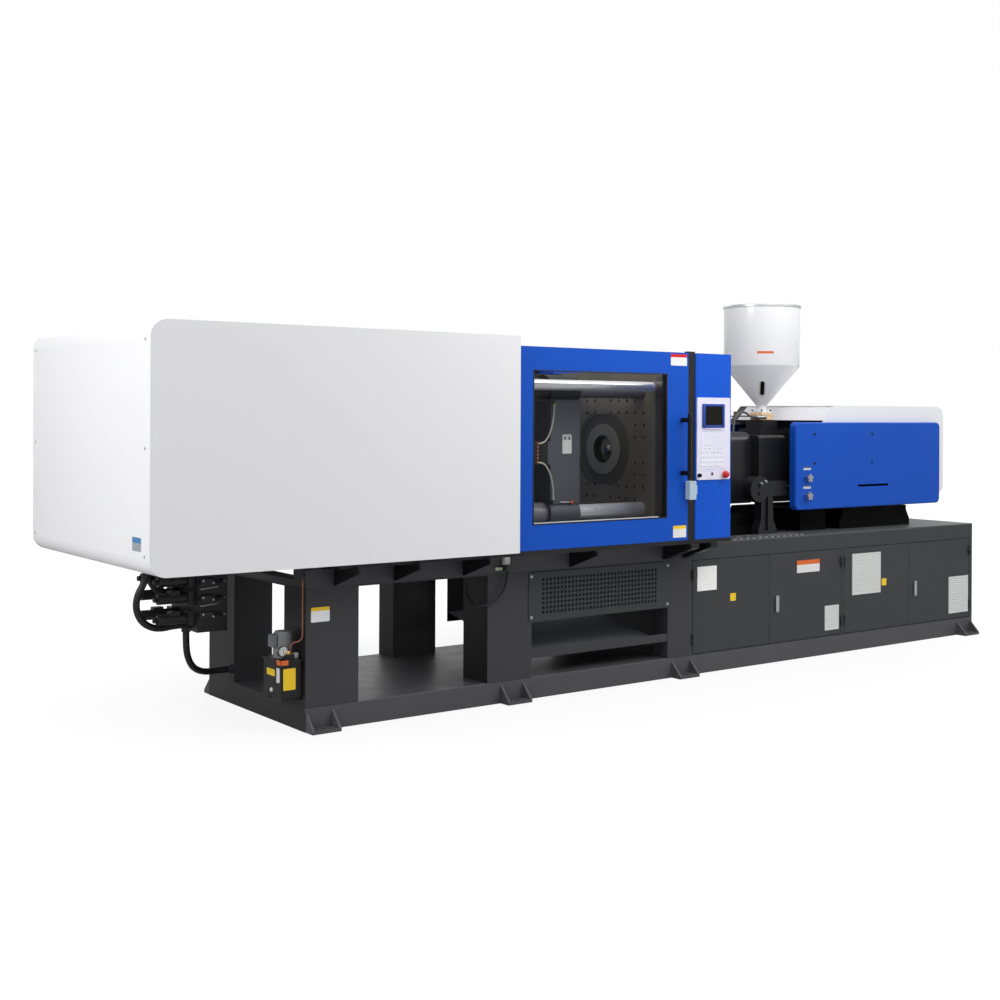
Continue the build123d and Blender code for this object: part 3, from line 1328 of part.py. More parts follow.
def screw():
    # The plasticising screw: a pointed tip, a core with flights and a drive shank
    tip_x = BARREL_LEFT_X + 30
    tip = Pos(tip_x + 30, 0, AXIS_Z) * Rot(0, 90, 0) * Cone(4, 20, 60)
    core_left = tip_x + 60
    body = tip + bar_x(core_left, SCREW_RIGHT_X, 0, AXIS_Z, 20)
    pitch = SCREW_R * 2
    turns = int((THROAT_X + 60 - core_left) / pitch)
    for turn in range(turns):
        x = core_left + (turn + 0.5) * pitch
        flight = Pos(x, 0, AXIS_Z) * Rot(0, 90 - 17, 0) * Cylinder(SCREW_R - 1, 6)
        body += flight
    return body + bar_x(BARREL_RIGHT_X - 60, SCREW_RIGHT_X, 0, AXIS_Z, SCREW_R)


def injection_ram():
    # The moving plate with its piston rods and the hydraulic screw motor
    body = box(RAM_X, RAM_X + RAM_T, -RAM_HALF + 60, RAM_HALF - 60, AXIS_Z - RAM_H / 2, AXIS_Z + RAM_H / 2)
    body = fillet(body.edges().filter_by(Axis.X), 20)
    for side in (-1, 1):
        body += bar_x(INJ_CYL_LEFT_X + 60, RAM_X, side * INJ_CYL_Y, AXIS_Z, INJ_ROD_R)
    body += bar_x(RAM_X + RAM_T, RAM_X + RAM_T + MOTOR_L, 0, AXIS_Z, MOTOR_R)
    body += bar_x(RAM_X + RAM_T + MOTOR_L, RAM_X + RAM_T + MOTOR_L + 40, 0, AXIS_Z, MOTOR_R - 40)
    body -= bar_x(RAM_X, RAM_X + RAM_T + 40, 0, AXIS_Z, SCREW_R + RUN_FIT)
    return body


def barrel_shroud():
    # The arched sheet guard over the heated barrel, open underneath
    height = SHROUD_TOP_Z - SHROUD_BOTTOM_Z
    mid_x = (SHROUD_LEFT_X + HOUSING_LEFT_X) / 2
    length = HOUSING_LEFT_X - SHROUD_LEFT_X
    mid_z = (SHROUD_TOP_Z + SHROUD_BOTTOM_Z) / 2
    outer = Pos(mid_x, 0, mid_z) * Box(length, 2 * SHROUD_HALF, height)
    outer = fillet(outer.edges().filter_by(Axis.X).sort_by(Axis.Z)[-2:], SHROUD_R)
    wall = SHROUD_WALL
    inner = Pos(mid_x, 0, mid_z - wall) * Box(length, 2 * (SHROUD_HALF - wall), height)
    inner = fillet(inner.edges().filter_by(Axis.X).sort_by(Axis.Z)[-2:], SHROUD_R - wall)
    shroud = outer - inner
    cover = box(SHROUD_LEFT_X, SHROUD_LEFT_X + wall, -SHROUD_HALF + SHROUD_R, SHROUD_HALF - SHROUD_R, SHROUD_BOTTOM_Z, SHROUD_TOP_Z - wall)
    cover -= bar_x(SHROUD_LEFT_X, SHROUD_LEFT_X + wall, 0, AXIS_Z, BARREL_R + 10)
    for y in (-CARRIAGE_ROD_Y, CARRIAGE_ROD_Y):
        cover -= bar_x(SHROUD_LEFT_X, SHROUD_LEFT_X + wall, y, CARRIAGE_ROD_Z, CARRIAGE_ROD_R + 6)
    return shroud + cover


def side_pan():
    # A shallow blue side guard with rounded corners and a scale slot
    width = SIDE_RIGHT_X - SIDE_LEFT_X
    height = SIDE_TOP_Z - SIDE_BOTTOM_Z
    centre = (SIDE_LEFT_X + width / 2, -SIDE_FACE_Y + SIDE_D / 2, SIDE_BOTTOM_Z + height / 2)
    pan = Pos(*centre) * Box(width, SIDE_D, height)
    pan = fillet(pan.edges().filter_by(Axis.Y), SIDE_R)
    pan = fillet(pan.faces().sort_by(Axis.Y)[0].edges(), 10)
    wall = SIDE_WALL
    core = Pos(centre[0], centre[1] + wall, centre[2]) * Box(width - 2 * wall, SIDE_D, height - 2 * wall)
    core = fillet(core.edges().filter_by(Axis.Y), SIDE_R - wall)
    pan -= core
    face = -SIDE_FACE_Y
    slot_mid = SLOT_LEFT_X + SLOT_W / 2
    slot = Pos(slot_mid, face + wall / 2, SLOT_Z) * Box(SLOT_W, 2 * wall, SLOT_H)
    return pan - slot


def side_guards():
    # Both pans, each with two brackets to the carriage's plates
    front = side_pan()
    for x, inner in ((BACK_PLATE_X, BACK_PLATE_HALF), (BARREL_RIGHT_X, HOUSING_HALF)):
        front += box(x, x + 20, -SIDE_FACE_Y + SIDE_WALL, -inner, AXIS_Z - 20, AXIS_Z + 20)
    rear = mirrored_y(front)
    for z in VALVE_ZS:
        front -= bar_y(-SIDE_FACE_Y, -SIDE_FACE_Y + SIDE_D, VALVE_X, z, VALVE_STEM_R + RUN_FIT)
    return Compound(children=[front, rear])


def hood():
    # The white hood: a folded roof with skirts and a closed end, open at the hopper
    half = HOOD_HALF
    right = HOOD_RIGHT_X
    skirt_x = SIDE_RIGHT_X - 60
    outline = [
        (HOOD_LEFT_X - HOOD_SLANT, HOOD_SKIRT_Z),
        (HOOD_LEFT_X, HOOD_TOP_Z),
        (right, HOOD_TOP_Z),
        (right, HOOD_BOTTOM_Z + HOOD_CHAMFER),
        (right - HOOD_CHAMFER, HOOD_BOTTOM_Z),
        (skirt_x, HOOD_BOTTOM_Z),
        (skirt_x, HOOD_SKIRT_Z),
    ]
    solid = slab_y(outline, -half, half)
    corner = solid.edges().filter_by(Axis.Y).group_by(Axis.Z)[-1].sort_by(Axis.X)[-1]
    solid = fillet(corner, HOOD_TOP_R)
    wall = HOOD_WALL
    left = HOOD_LEFT_X - 2 * HOOD_SLANT
    low = HOOD_BOTTOM_Z - 2 * HOOD_CHAMFER
    floor = HOOD_BOTTOM_Z + wall
    inner = [
        (left, low),
        (left, HOOD_TOP_Z - wall),
        (right - wall, HOOD_TOP_Z - wall),
        (right - wall, floor + HOOD_CHAMFER),
        (right - HOOD_CHAMFER - wall, floor),
        (right - HOOD_CHAMFER - wall, low),
    ]
    core = slab_y(inner, -half + wall, half - wall)
    corner = core.edges().filter_by(Axis.Y).group_by(Axis.Z)[-1].sort_by(Axis.X)[-1]
    core = fillet(corner, HOOD_TOP_R - wall)
    return solid - core


def hopper():
    # Spun sheet hopper: cylinder, cone and neck as one turned wall, on a flange
    wall = HOPPER_WALL
    outer = [
        (NECK_R, BLOCK_TOP_Z + FLANGE_T),
        (NECK_R, NECK_TOP_Z),
        (HOPPER_R, HOPPER_CONE_Z),
        (HOPPER_R, HOPPER_TOP_Z - LID_T),
    ]
    inner = [
        (HOPPER_R - wall, HOPPER_TOP_Z - LID_T),
        (HOPPER_R - wall, HOPPER_CONE_Z + 1),
        (NECK_R - wall, NECK_TOP_Z + 1),
        (NECK_R - wall, BLOCK_TOP_Z + FLANGE_T),
    ]
    profile = make_face(Polyline(*[(r, 0, z) for r, z in outer + inner], close=True))
    shell = revolve(profile, Axis.Z)
    flange = Pos(0, 0, BLOCK_TOP_Z + FLANGE_T / 2) * Box(2 * FLANGE_HALF, 2 * FLANGE_HALF, FLANGE_T)
    flange -= bar_z(BLOCK_TOP_Z, BLOCK_TOP_Z + FLANGE_T, 0, 0, NECK_R - wall)
    shell += flange
    lean = degrees(acos((HOPPER_CONE_Z - NECK_TOP_Z) / hypot(HOPPER_R - NECK_R, HOPPER_CONE_Z - NECK_TOP_Z)))
    ratio = (GLASS_Z - NECK_TOP_Z) / (HOPPER_CONE_Z - NECK_TOP_Z)
    reach = NECK_R + ratio * (HOPPER_R - NECK_R)
    slot = Rectangle(GLASS_W, GLASS_H)
    slot = fillet(slot.vertices(), GLASS_W / 2 - 0.5)
    frame = Rectangle(GLASS_W + 16, GLASS_H + 16)
    frame = fillet(frame.vertices(), GLASS_W / 2 + 6)
    seat = Pos(0, -reach, GLASS_Z) * Rot(90 - lean, 0, 0)
    shell += seat * Pos(0, 0, -4) * extrude(frame, amount=8)
    shell -= seat * Pos(0, 0, -14) * extrude(slot, amount=40)
    return Compound(children=[Pos(THROAT_X, 0, 0) * sheet for sheet in hopper_sheets(shell)])


def hopper_sheets(shell):
    # The rolled sheets that are welded along four seams: drum, cone and neck
    reach = 2 * HOPPER_R
    levels = (BLOCK_TOP_Z, NECK_TOP_Z, HOPPER_CONE_Z, HOPPER_TOP_Z)
    sheets = []
    for low, high in zip(levels, levels[1:]):
        for quarter in range(4):
            corners = ((SEAM_GAP, 0, low), (reach + SEAM_GAP, -reach, low), (reach + SEAM_GAP, reach, low))
            wedge = extrude(make_face(Polyline(*corners, close=True)), amount=high - low - SEAM_GAP, dir=(0, 0, 1))
            wedge = Rot(0, 0, 90 * quarter) * wedge
            sheets.extend((shell & wedge).solids())
    return sheets


def hopper_lid():
    # A loose lid that rests on the rim, with a short skirt around it
    top = HOPPER_TOP_Z
    outer = HOPPER_R + LID_CLEAR + LID_T
    lid = bar_z(top - LID_SKIRT_H, top, THROAT_X, 0, outer)
    lid = fillet(lid.edges().sort_by(Axis.Z)[-1], LID_T - 1)
    return lid - bar_z(top - LID_SKIRT_H, top - LID_T, THROAT_X, 0, HOPPER_R + LID_CLEAR)


def throat_block():
    # The block under the hopper, slotted for the shut-off slide
    half = FLANGE_HALF
    block = box(THROAT_X - half, THROAT_X + half, -half, half, BLOCK_BOTTOM_Z, BLOCK_TOP_Z)
    mid = (BLOCK_BOTTOM_Z + BLOCK_TOP_Z) / 2
    slot_half = SHUTTER_T / 2 + GAP
    block -= box(
        THROAT_X - half,
        THROAT_X + half,
        -SHUTTER_HALF - GAP,
        SHUTTER_HALF + GAP,
        mid - slot_half,
        mid + slot_half,
    )
    block -= bar_z(BLOCK_BOTTOM_Z, BLOCK_TOP_Z, THROAT_X, 0, FEED_R)
    cable_z = BLOCK_BOTTOM_Z + 18
    return block + box(THROAT_X - half - 14, THROAT_X - half, -89, -61, cable_z - 12, cable_z + 12)


def shutter():
    # The shut-off slide: a plate with a feed hole and a pull knob at its end
    mid = (BLOCK_BOTTOM_Z + BLOCK_TOP_Z) / 2
    x1 = THROAT_X + FEED_R + 24
    x0 = x1 - SHUTTER_L
    plate = box(x0, x1, -SHUTTER_HALF, SHUTTER_HALF, mid - SHUTTER_T / 2, mid + SHUTTER_T / 2)
    plate -= bar_z(mid - SHUTTER_T, mid + SHUTTER_T, THROAT_X, 0, FEED_R)
    return plate + bar_z(mid + SHUTTER_T / 2, mid + 30, x0 + 20, 0, SHUTTER_KNOB_R)


def valve_knob(z):
    # A star knob on a stem, in front of the side guard
    face = -SIDE_FACE_Y
    plane = Plane(origin=(VALVE_X, face - GAP, z), x_dir=(1, 0, 0), z_dir=(0, -1, 0))
    star = Circle(VALVE_R * 0.72)
    for lobe in range(VALVE_LOBES):
        angle = 360 / VALVE_LOBES * lobe + 90
        reach = VALVE_R * 0.7
        star += Pos(reach * cos(radians(angle)), reach * sin(radians(angle))) * Circle(VALVE_R * 0.3)
    knob = extrude(plane * star, amount=VALVE_PROUD)
    return knob + bar_y(face - GAP, face + SIDE_D - 10, VALVE_X, z, VALVE_STEM_R)


def step_plate():
    # The slotted non-slip plate on the deck beside the barrel
    plate = box(STEP_LEFT_X, STEP_RIGHT_X, -STEP_Y0, -STEP_Y1, DECK_Z, DECK_Z + STEP_T)
    pitch = (STEP_RIGHT_X - STEP_LEFT_X - 260) / STEP_SLOTS
    for index in range(STEP_SLOTS):
        x = STEP_LEFT_X + (index + 0.5) * pitch
        y0, y1 = -STEP_Y0 + 24, -STEP_Y1 - 24
        outline = Polyline(
            (x, y0, DECK_Z),
            (x + 18, y0, DECK_Z),
            (x + 18 - 30, y1, DECK_Z),
            (x - 30, y1, DECK_Z),
            close=True,
        )
        plate -= extrude(make_face(outline), amount=STEP_T, dir=(0, 0, 1))
    return plate


def lube_pump():
    # Lubrication pump on the leg's end face: tank, lid, motor, gauge and outlet
    right = SKID_LEFT_X
    body = box(LUBE_LEFT_X, right, LUBE_Y0, LUBE_Y1, LUBE_Z0, LUBE_Z1)
    body = fillet(body.edges().filter_by(Axis.Z), 8)
    lid_top = LUBE_Z1 + LUBE_LID_T
    body += box(LUBE_LEFT_X - 6, right, LUBE_Y0 - 6, LUBE_Y1 + 6, LUBE_Z1, lid_top)
    for y in (LUBE_Y0 + 16, LUBE_Y1 - 30):
        body += box(LUBE_LEFT_X + 10, right, y, y + 14, LUBE_Z0 - 14, LUBE_Z0)
    x, y = LUBE_MOTOR_X, LUBE_MOTOR_Y
    body += bar_z(lid_top, LUBE_MOTOR_TOP_Z - 8, x, y, LUBE_MOTOR_R)
    body += bar_z(LUBE_MOTOR_TOP_Z - 8, LUBE_MOTOR_TOP_Z, x, y, LUBE_MOTOR_R - 6)
    body += box(x - LUBE_MOTOR_R - 20, x - LUBE_MOTOR_R + 12, y - 24, y + 24, lid_top + 52, lid_top + 108)
    gauge_z = lid_top + 36
    body += bar_y(y - LUBE_MOTOR_R - 30, y - LUBE_MOTOR_R - 12, x - 34, gauge_z, 23)
    body += bar_y(y - LUBE_MOTOR_R - 12, y, x - 30, gauge_z, 8)
    body += box(x - 30, x + 14, LUBE_Y0 + 8, LUBE_Y0 + 40, lid_top, lid_top + 22)
    pipe_x, pipe_y, pipe_z = PIPE_ROUTE[0]
    body += bar_z(lid_top, pipe_z, pipe_x, pipe_y, 8)
    return body


def cord(points, radius):
    # A round tube along straight runs joined by the largest tangent arcs that fit
    knots = [Vector(*point) for point in points]
    radii = []
    for before, here, after in zip(knots, knots[1:], knots[2:]):
        turn = (here - before).get_angle(after - here)
        run = min((here - before).length, (after - here).length)
        radii.append(0.45 * run / tan(radians(turn / 2)))
    path = FilletPolyline(*points, radius=radii)
    start = Plane(origin=path @ 0, z_dir=path % 0)
    tube = sweep(start * Circle(radius), path=path)
    share = tube.volume / (path.length * pi * radius ** 2)
    least = round(min(radii) / (2 * radius), 1)
    print("cord, least radius in diameters", least, "length", round(path.length), "volume share", round(share, 4))
    return tube


def valve_block():
    # The hydraulic manifold on its arm, with two columns of solenoid valves
    x0 = BLOCK_X - BLOCK_W / 2
    x1 = BLOCK_X + BLOCK_W / 2
    top = BLOCK_Z + BLOCK_H
    body = box(x0, x1, -BLOCK_D / 2, BLOCK_D / 2, BLOCK_Z, top)
    for z in VALVE_ROWS:
        for y in (-VALVE_COLUMN_Y, VALVE_COLUMN_Y):
            body += box(x0 - 34, x0, y - 32, y + 32, z - 32, z + 32)
            body += bar_x(x0 - 34 - SOLENOID_L, x0 - 34, y, z, SOLENOID_R)
            body += bar_x(x0 - 52 - SOLENOID_L, x0 - 34 - SOLENOID_L, y, z, SOLENOID_R - 12)
            body += box(x0 - 120, x0 - 70, y - 18, y + 18, z + SOLENOID_R - 6, z + SOLENOID_R + 12)
    body += box(x0, SKID_LEFT_X, -60, 60, top, DECK_Z)
    for name in ("hose_1", "hose_2"):
        x, y, z = CORD_ROUTES[name][-1]
        body += bar_x(x, x0, y, z, HOSE_GLAND_R)
    x, y, z = CORD_ROUTES["hose_3"][0]
    return body + bar_z(z, BLOCK_Z, x, y, HOSE_GLAND_R)


def pump_set():
    # The electric motor and hydraulic pump, on a bed in the first bay
    y = -170
    z0 = SKID_H
    bed = box(PUMP_X - 60, PUMP_X + PUMP_MOTOR_L + PUMP_L, y - 130, y + 130, z0, z0 + PUMP_BED_H)
    body = bed + box(PUMP_X + 40, PUMP_X + PUMP_MOTOR_L - 40, y - 100, y + 100, z0 + PUMP_BED_H, PUMP_Z)
    body += bar_x(PUMP_X, PUMP_X + PUMP_MOTOR_L, y, PUMP_Z, PUMP_MOTOR_R)
    body += bar_x(PUMP_X - 40, PUMP_X, y, PUMP_Z, PUMP_MOTOR_R - 16)
    body += bar_x(PUMP_X + PUMP_MOTOR_L, PUMP_X + PUMP_MOTOR_L + 60, y, PUMP_Z, PUMP_MOTOR_R - 30)
    body += bar_x(PUMP_X + PUMP_MOTOR_L + 60, PUMP_X + PUMP_MOTOR_L + PUMP_L, y, PUMP_Z, PUMP_R)
    body += box(PUMP_X + 130, PUMP_X + 250, y - 70, y + 70, PUMP_Z + PUMP_MOTOR_R - 20, PUMP_Z + PUMP_MOTOR_R + 60)
    return body


def switch_plate():
    # The mounting plate with switchgear, at the back of the second bay
    x0 = DOOR_SPLITS_X[1] + CAB_POST_W / 2 + 60
    x1 = SKID_RIGHT_X - CAB_END_W - 60
    y = BASE_HALF_W - CAB_WALL
    body = box(x0, x1, y - 60, y - 56, SKID_H, DOOR_TOP_Z)
    body += box(x0, x1, y - 56, y, SKID_H + 300, SKID_H + 330)
    for row, z in enumerate((240, 380, 520)):
        body += box(x0 + 40, x1 - 40, y - 68, y - 60, z - 18, z + 18)
        for place in range(5 + row):
            width = 90
            left = x0 + 70 + place * 150
            body += box(left, left + width, y - 140 - 10 * row, y - 68, z - 48, z + 48)
    return body


def build():
    upper_rear = place_link(rear_link(), TAIL_PIN_X, PIVOT_RISE, LINK_ANGLE)
    upper_front = place_link(front_link(), PLATEN_PIN_X, PIVOT_RISE, 180 - LINK_ANGLE)
    upper_cross = place_link(cross_link(), CROSSHEAD_X, CROSS_PIN_RISE, CROSS_ANGLE)
    axis_plane = Plane(origin=(0, 0, AXIS_Z), z_dir=(0, 0, 1))
    return {
        "base_skid": base_skid(),
        "clamp_frame": clamp_frame(),
        "grille_panel": grille_panel(),
        "injection_base": injection_base(),
        "door_1": cabinet_door(0),
        "door_2": cabinet_door(1),
        "door_3": cabinet_door(2),
        "door_4": cabinet_door(3),
        "latch_2": door_latch(1),
        "latch_4": door_latch(3),
        "clamp_cover": clamp_cover(),
        "gate_rails": gate_rails(),
        "front_gate": front_gate(),
        "front_gate_window": gate_window(),
        "rear_gate": rear_gate(),
        "guard_columns": guard_columns(),
        "control_panel": control_panel(),
        "estop_button": estop_button(),
        "key_switch": key_switch(),
        "tie_bars": tie_bars(),
        "fixed_platen": fixed_platen(),
        "moving_platen": moving_platen(),
        "ejector": ejector(),
        "tail_stock": tail_stock(),
        "clamp_cylinder": clamp_cylinder(),
        "crosshead": crosshead(),
        "rear_link_upper": upper_rear,
        "rear_link_lower": mirror(upper_rear, axis_plane),
        "front_link_upper": upper_front,
        "front_link_lower": mirror(upper_front, axis_plane),
        "cross_link_upper": upper_cross,
        "cross_link_lower": mirror(upper_cross, axis_plane),
        "carriage_rods": carriage_rods(),
        "pedestals": pedestals(),
        "carriage_housing": carriage_housing(),
        "front_feet": front_feet(),
        "barrel": barrel(),
        "screw": screw(),
        "injection_ram": injection_ram(),
        "barrel_shroud": barrel_shroud(),
        "side_guards": side_guards(),
        "hood": hood(),
        "hopper": hopper(),
        "hopper_lid": hopper_lid(),
        "throat_block": throat_block(),
        "shutter": shutter(),
        "valve_knob_upper": valve_knob(VALVE_ZS[0]),
        "valve_knob_lower": valve_knob(VALVE_ZS[1]),
        "step_plate": step_plate(),
        "lube_pump": lube_pump(),
        "lube_pipe": cord(PIPE_ROUTE, PIPE_R),
        "valve_block": valve_block(),
        "pump_set": pump_set(),
        "hose_1": cord(CORD_ROUTES["hose_1"], HOSE_R),
        "hose_2": cord(CORD_ROUTES["hose_2"], HOSE_R),
        "hose_3": cord(CORD_ROUTES["hose_3"], HOSE_R),
        "frame_cable": cord(CORD_ROUTES["frame_cable"], CABLE_R),
        "hopper_cable": cord(CORD_ROUTES["hopper_cable"], CABLE_R),
        "grease_tube_1": cord(GREASE_ROUTES["grease_tube_1"], GREASE_TUBE_R),
        "grease_tube_2": cord(GREASE_ROUTES["grease_tube_2"], GREASE_TUBE_R),
    }


if __name__ == "__main__":
    os.makedirs("parts", exist_ok=True)
    for node, shape in build().items():
        export_step(shape, f"parts/{node}.step")
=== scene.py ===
import math

import bmesh
import bpy
from mathutils import Euler, Matrix, Vector

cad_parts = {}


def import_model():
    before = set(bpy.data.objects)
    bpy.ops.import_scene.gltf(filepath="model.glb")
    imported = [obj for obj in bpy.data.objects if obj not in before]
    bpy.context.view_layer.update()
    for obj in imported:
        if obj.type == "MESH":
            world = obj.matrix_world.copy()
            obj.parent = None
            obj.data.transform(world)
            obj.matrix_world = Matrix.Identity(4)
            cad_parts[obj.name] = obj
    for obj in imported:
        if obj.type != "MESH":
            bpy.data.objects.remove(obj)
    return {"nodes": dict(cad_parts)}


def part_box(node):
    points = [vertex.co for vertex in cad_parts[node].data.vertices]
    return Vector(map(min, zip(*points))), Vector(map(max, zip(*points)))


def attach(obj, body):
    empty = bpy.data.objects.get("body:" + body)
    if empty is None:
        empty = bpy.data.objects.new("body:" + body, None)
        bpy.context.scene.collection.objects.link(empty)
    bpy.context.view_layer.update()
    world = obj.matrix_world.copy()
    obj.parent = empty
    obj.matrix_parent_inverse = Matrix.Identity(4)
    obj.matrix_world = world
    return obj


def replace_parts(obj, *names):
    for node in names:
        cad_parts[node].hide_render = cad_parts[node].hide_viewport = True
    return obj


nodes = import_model()["nodes"]
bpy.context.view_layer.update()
link_object = bpy.context.scene.collection.objects.link

# Camera at the photograph's place
LENS_MM = 49.135
SENSOR_MM = 36
LENS_SHIFT = -0.0848
CAMERA_PLACE = (-5.0898, -6.0624, 1.4541)
HEADING_DEG = -36.318
ROLL_DEG = 0.28

lens_data = bpy.data.cameras.new("camera")
lens_data.sensor_width = SENSOR_MM
lens_data.lens = LENS_MM
lens_data.shift_y = LENS_SHIFT
lens_data.clip_end = 100
camera = bpy.data.objects.new("camera", lens_data)
camera.location = CAMERA_PLACE
aim = Euler((math.radians(90), 0, math.radians(HEADING_DEG)), "XYZ").to_matrix()
camera.rotation_euler = (aim @ Matrix.Rotation(math.radians(ROLL_DEG), 3, "Z")).to_euler()
link_object(camera)
bpy.context.scene.camera = camera
bpy.context.scene.view_settings.view_transform = "Standard"


def colour(red, green, blue):
    # A display colour of 0 to 255 as the shader's own linear values
    def linear(v):
        v /= 255
        return v / 12.92 if v <= 0.04045 else ((v + 0.055) / 1.055) ** 2.4

    return (linear(red), linear(green), linear(blue), 1)


class Wiring:
    """Shader nodes under construction, in a material or in the world."""

    def __init__(self, owner):
        owner.use_nodes = True
        self.tree = owner.node_tree

    def node(self, kind, *inputs, **options):
        made = self.tree.nodes.new(kind)
        for key, value in options.items():
            setattr(made, key, value)
        for index, value in enumerate(inputs):
            self.feed(made.inputs[index], value)
        return made

    def feed(self, socket, value):
        if isinstance(value, bpy.types.NodeSocket):
            self.tree.links.new(value, socket)
        elif value is not None:
            socket.default_value = value

    def fill(self, made, **sockets):
        # Feeds the named sockets; an underscore stands for the space in a name
        for key, value in sockets.items():
            self.feed(made.inputs[key.replace("_", " ")], value)

    def math(self, operation, a, b=0.0):
        return self.node("ShaderNodeMath", a, b, operation=operation).outputs[0]

    def ramp(self, value, low, high, at_low=0.0, at_high=1.0):
        made = self.node("ShaderNodeMapRange")
        self.fill(made, Value=value, From_Min=low, From_Max=high, To_Min=at_low, To_Max=at_high)
        return made.outputs["Result"]


class Shade(Wiring):
    """A material under construction, with the few nodes that the finishes share."""

    def __init__(self, name):
        self.material = bpy.data.materials.new(name)
        super().__init__(self.material)
        self.bsdf = self.tree.nodes["Principled BSDF"]
        self.place = self.node("ShaderNodeTexCoord").outputs["Object"]
        self.normal = None

    def vector(self, operation, a, b=None):
        made = self.node("ShaderNodeVectorMath", a, b, operation=operation)
        return made.outputs["Value" if operation in ("LENGTH", "DOT_PRODUCT") else "Vector"]

    def noise(self, scale, detail=2.0, stretch=(1, 1, 1), roughness=0.5):
        moved = self.vector("MULTIPLY", self.place, stretch) if stretch != (1, 1, 1) else self.place
        made = self.node("ShaderNodeTexNoise")
        self.fill(made, Vector=moved, Scale=scale, Detail=detail, Roughness=roughness)
        return made.outputs[0]

    def mix(self, share, a, b):
        made = self.node("ShaderNodeMix", data_type="RGBA")
        self.feed(made.inputs["Factor"], share)
        self.feed(made.inputs[6], a)
        self.feed(made.inputs[7], b)
        return made.outputs[2]

    def within(self, low, high):
        # 1 inside the box from low to high, in metres, and 0 outside
        inside = self.node("ShaderNodeSeparateXYZ", self.vector("SUBTRACT", self.place, low))
        beyond = self.node("ShaderNodeSeparateXYZ", self.vector("SUBTRACT", high, self.place))
        least = inside.outputs[0]
        for socket in (inside.outputs[1], inside.outputs[2], *beyond.outputs):
            least = self.math("MINIMUM", least, socket)
        return self.math("GREATER_THAN", least, 0.0)

    def round_of(self, centre, radius, along):
        # 1 inside a round bar of that radius through centre, along one axis
        flat = tuple(0.0 if letter == along else 1.0 for letter in "XYZ")
        away = self.vector("MULTIPLY", self.vector("SUBTRACT", self.place, centre), flat)
        return self.math("LESS_THAN", self.vector("LENGTH", away), radius)

    def blended(self, share, a, b):
        # a where share is 0 and b where it is 1
        kept = self.math("MULTIPLY", self.math("SUBTRACT", 1.0, share), a)
        return self.math("ADD", kept, self.math("MULTIPLY", share, b))

    def zoned(self, tint, roughness, metal, zones):
        # Lays the zones of another finish over the ground colour
        for mask, zone_colour, zone_rough, zone_metal in (zone(self) for zone in zones):
            tint = self.mix(mask, tint, zone_colour)
            roughness = self.blended(mask, roughness, zone_rough)
            metal = metal if zone_metal == metal else self.blended(mask, metal, zone_metal)
        return tint, roughness, metal

    def bump(self, height, strength, distance):
        made = self.node("ShaderNodeBump")
        self.fill(made, Strength=strength, Distance=distance, Height=height)
        self.normal = made.outputs["Normal"]

    def done(self, base, rough, metal=0.0, coat=0.0, **sockets):
        self.fill(self.bsdf, Base_Color=base, Roughness=rough, Metallic=metal, Normal=self.normal,
                  Coat_Weight=coat, Coat_Roughness=0.1, **sockets)
        return self.material


def toned(base, factor, lift=0.0):
    # The same colour, paler or darker
    return (*(min(1, v * factor + lift) for v in base[:3]), 1)


def powder_coat(name, base, rough=0.42, peel=0.25, depth=0.06, zones=(), coat=0.0, gloss=0.35):
    # Sprayed sheet metal: a fine peel and faint cloudiness
    shade = Shade(name)
    cloud = shade.noise(1.3, 3.0)
    tint = shade.mix(shade.ramp(cloud, 0.3, 0.7, 0.0, depth), base, toned(base, 1.35, 0.004))
    fine = shade.noise(60.0, 2.0)
    tint = shade.mix(shade.ramp(fine, 0.35, 0.65, 0.0, depth * 0.5), tint, toned(base, 0.8))
    roughness = shade.ramp(shade.noise(9.0, 3.0), 0.3, 0.7, rough - 0.05, rough + 0.06)
    tint, roughness, metal = shade.zoned(tint, roughness, 0.0, zones)
    shade.bump(shade.noise(420.0, 1.0), peel, 0.0004)
    return shade.done(tint, roughness, metal, coat, Specular_IOR_Level=gloss)


def zone_box(low, high, base, rough=0.5, metal=0.0):
    return lambda shade: (shade.within(low, high), base, rough, metal)


def zone_bar(centre, radius, along, base, rough=0.4, metal=0.0):
    return lambda shade: (shade.round_of(centre, radius, along), base, rough, metal)


def zone_cut_bar(centre, radius, along, low, high, base, rough=0.4):
    # The part of a round zone that lies between two corners
    def zone(shade):
        cut = shade.math("MULTIPLY", shade.round_of(centre, radius, along), shade.within(low, high))
        return cut, base, rough, 0.0

    return zone


CHROME = colour(205, 207, 210)


def bright_steel(name, base=CHROME, rough=0.18, brushed=(1, 1, 1), depth=0.12, metal=1.0, zones=()):
    # Ground or plated steel with fine lines along one way and faint smears
    shade = Shade(name)
    lines = shade.noise(300.0, 2.0, brushed)
    smear = shade.noise(7.0, 4.0)
    tint = shade.mix(shade.ramp(lines, 0.3, 0.7, 0.0, depth), base, toned(base, 0.55))
    tint = shade.mix(shade.ramp(smear, 0.45, 0.75, 0.0, 0.25), tint, toned(base, 0.6))
    roughness = shade.ramp(smear, 0.3, 0.7, rough, rough + 0.12)
    tint, roughness, metal = shade.zoned(tint, roughness, metal, zones)
    shade.bump(lines, 0.08, 0.0003)
    return shade.done(tint, roughness, metal)


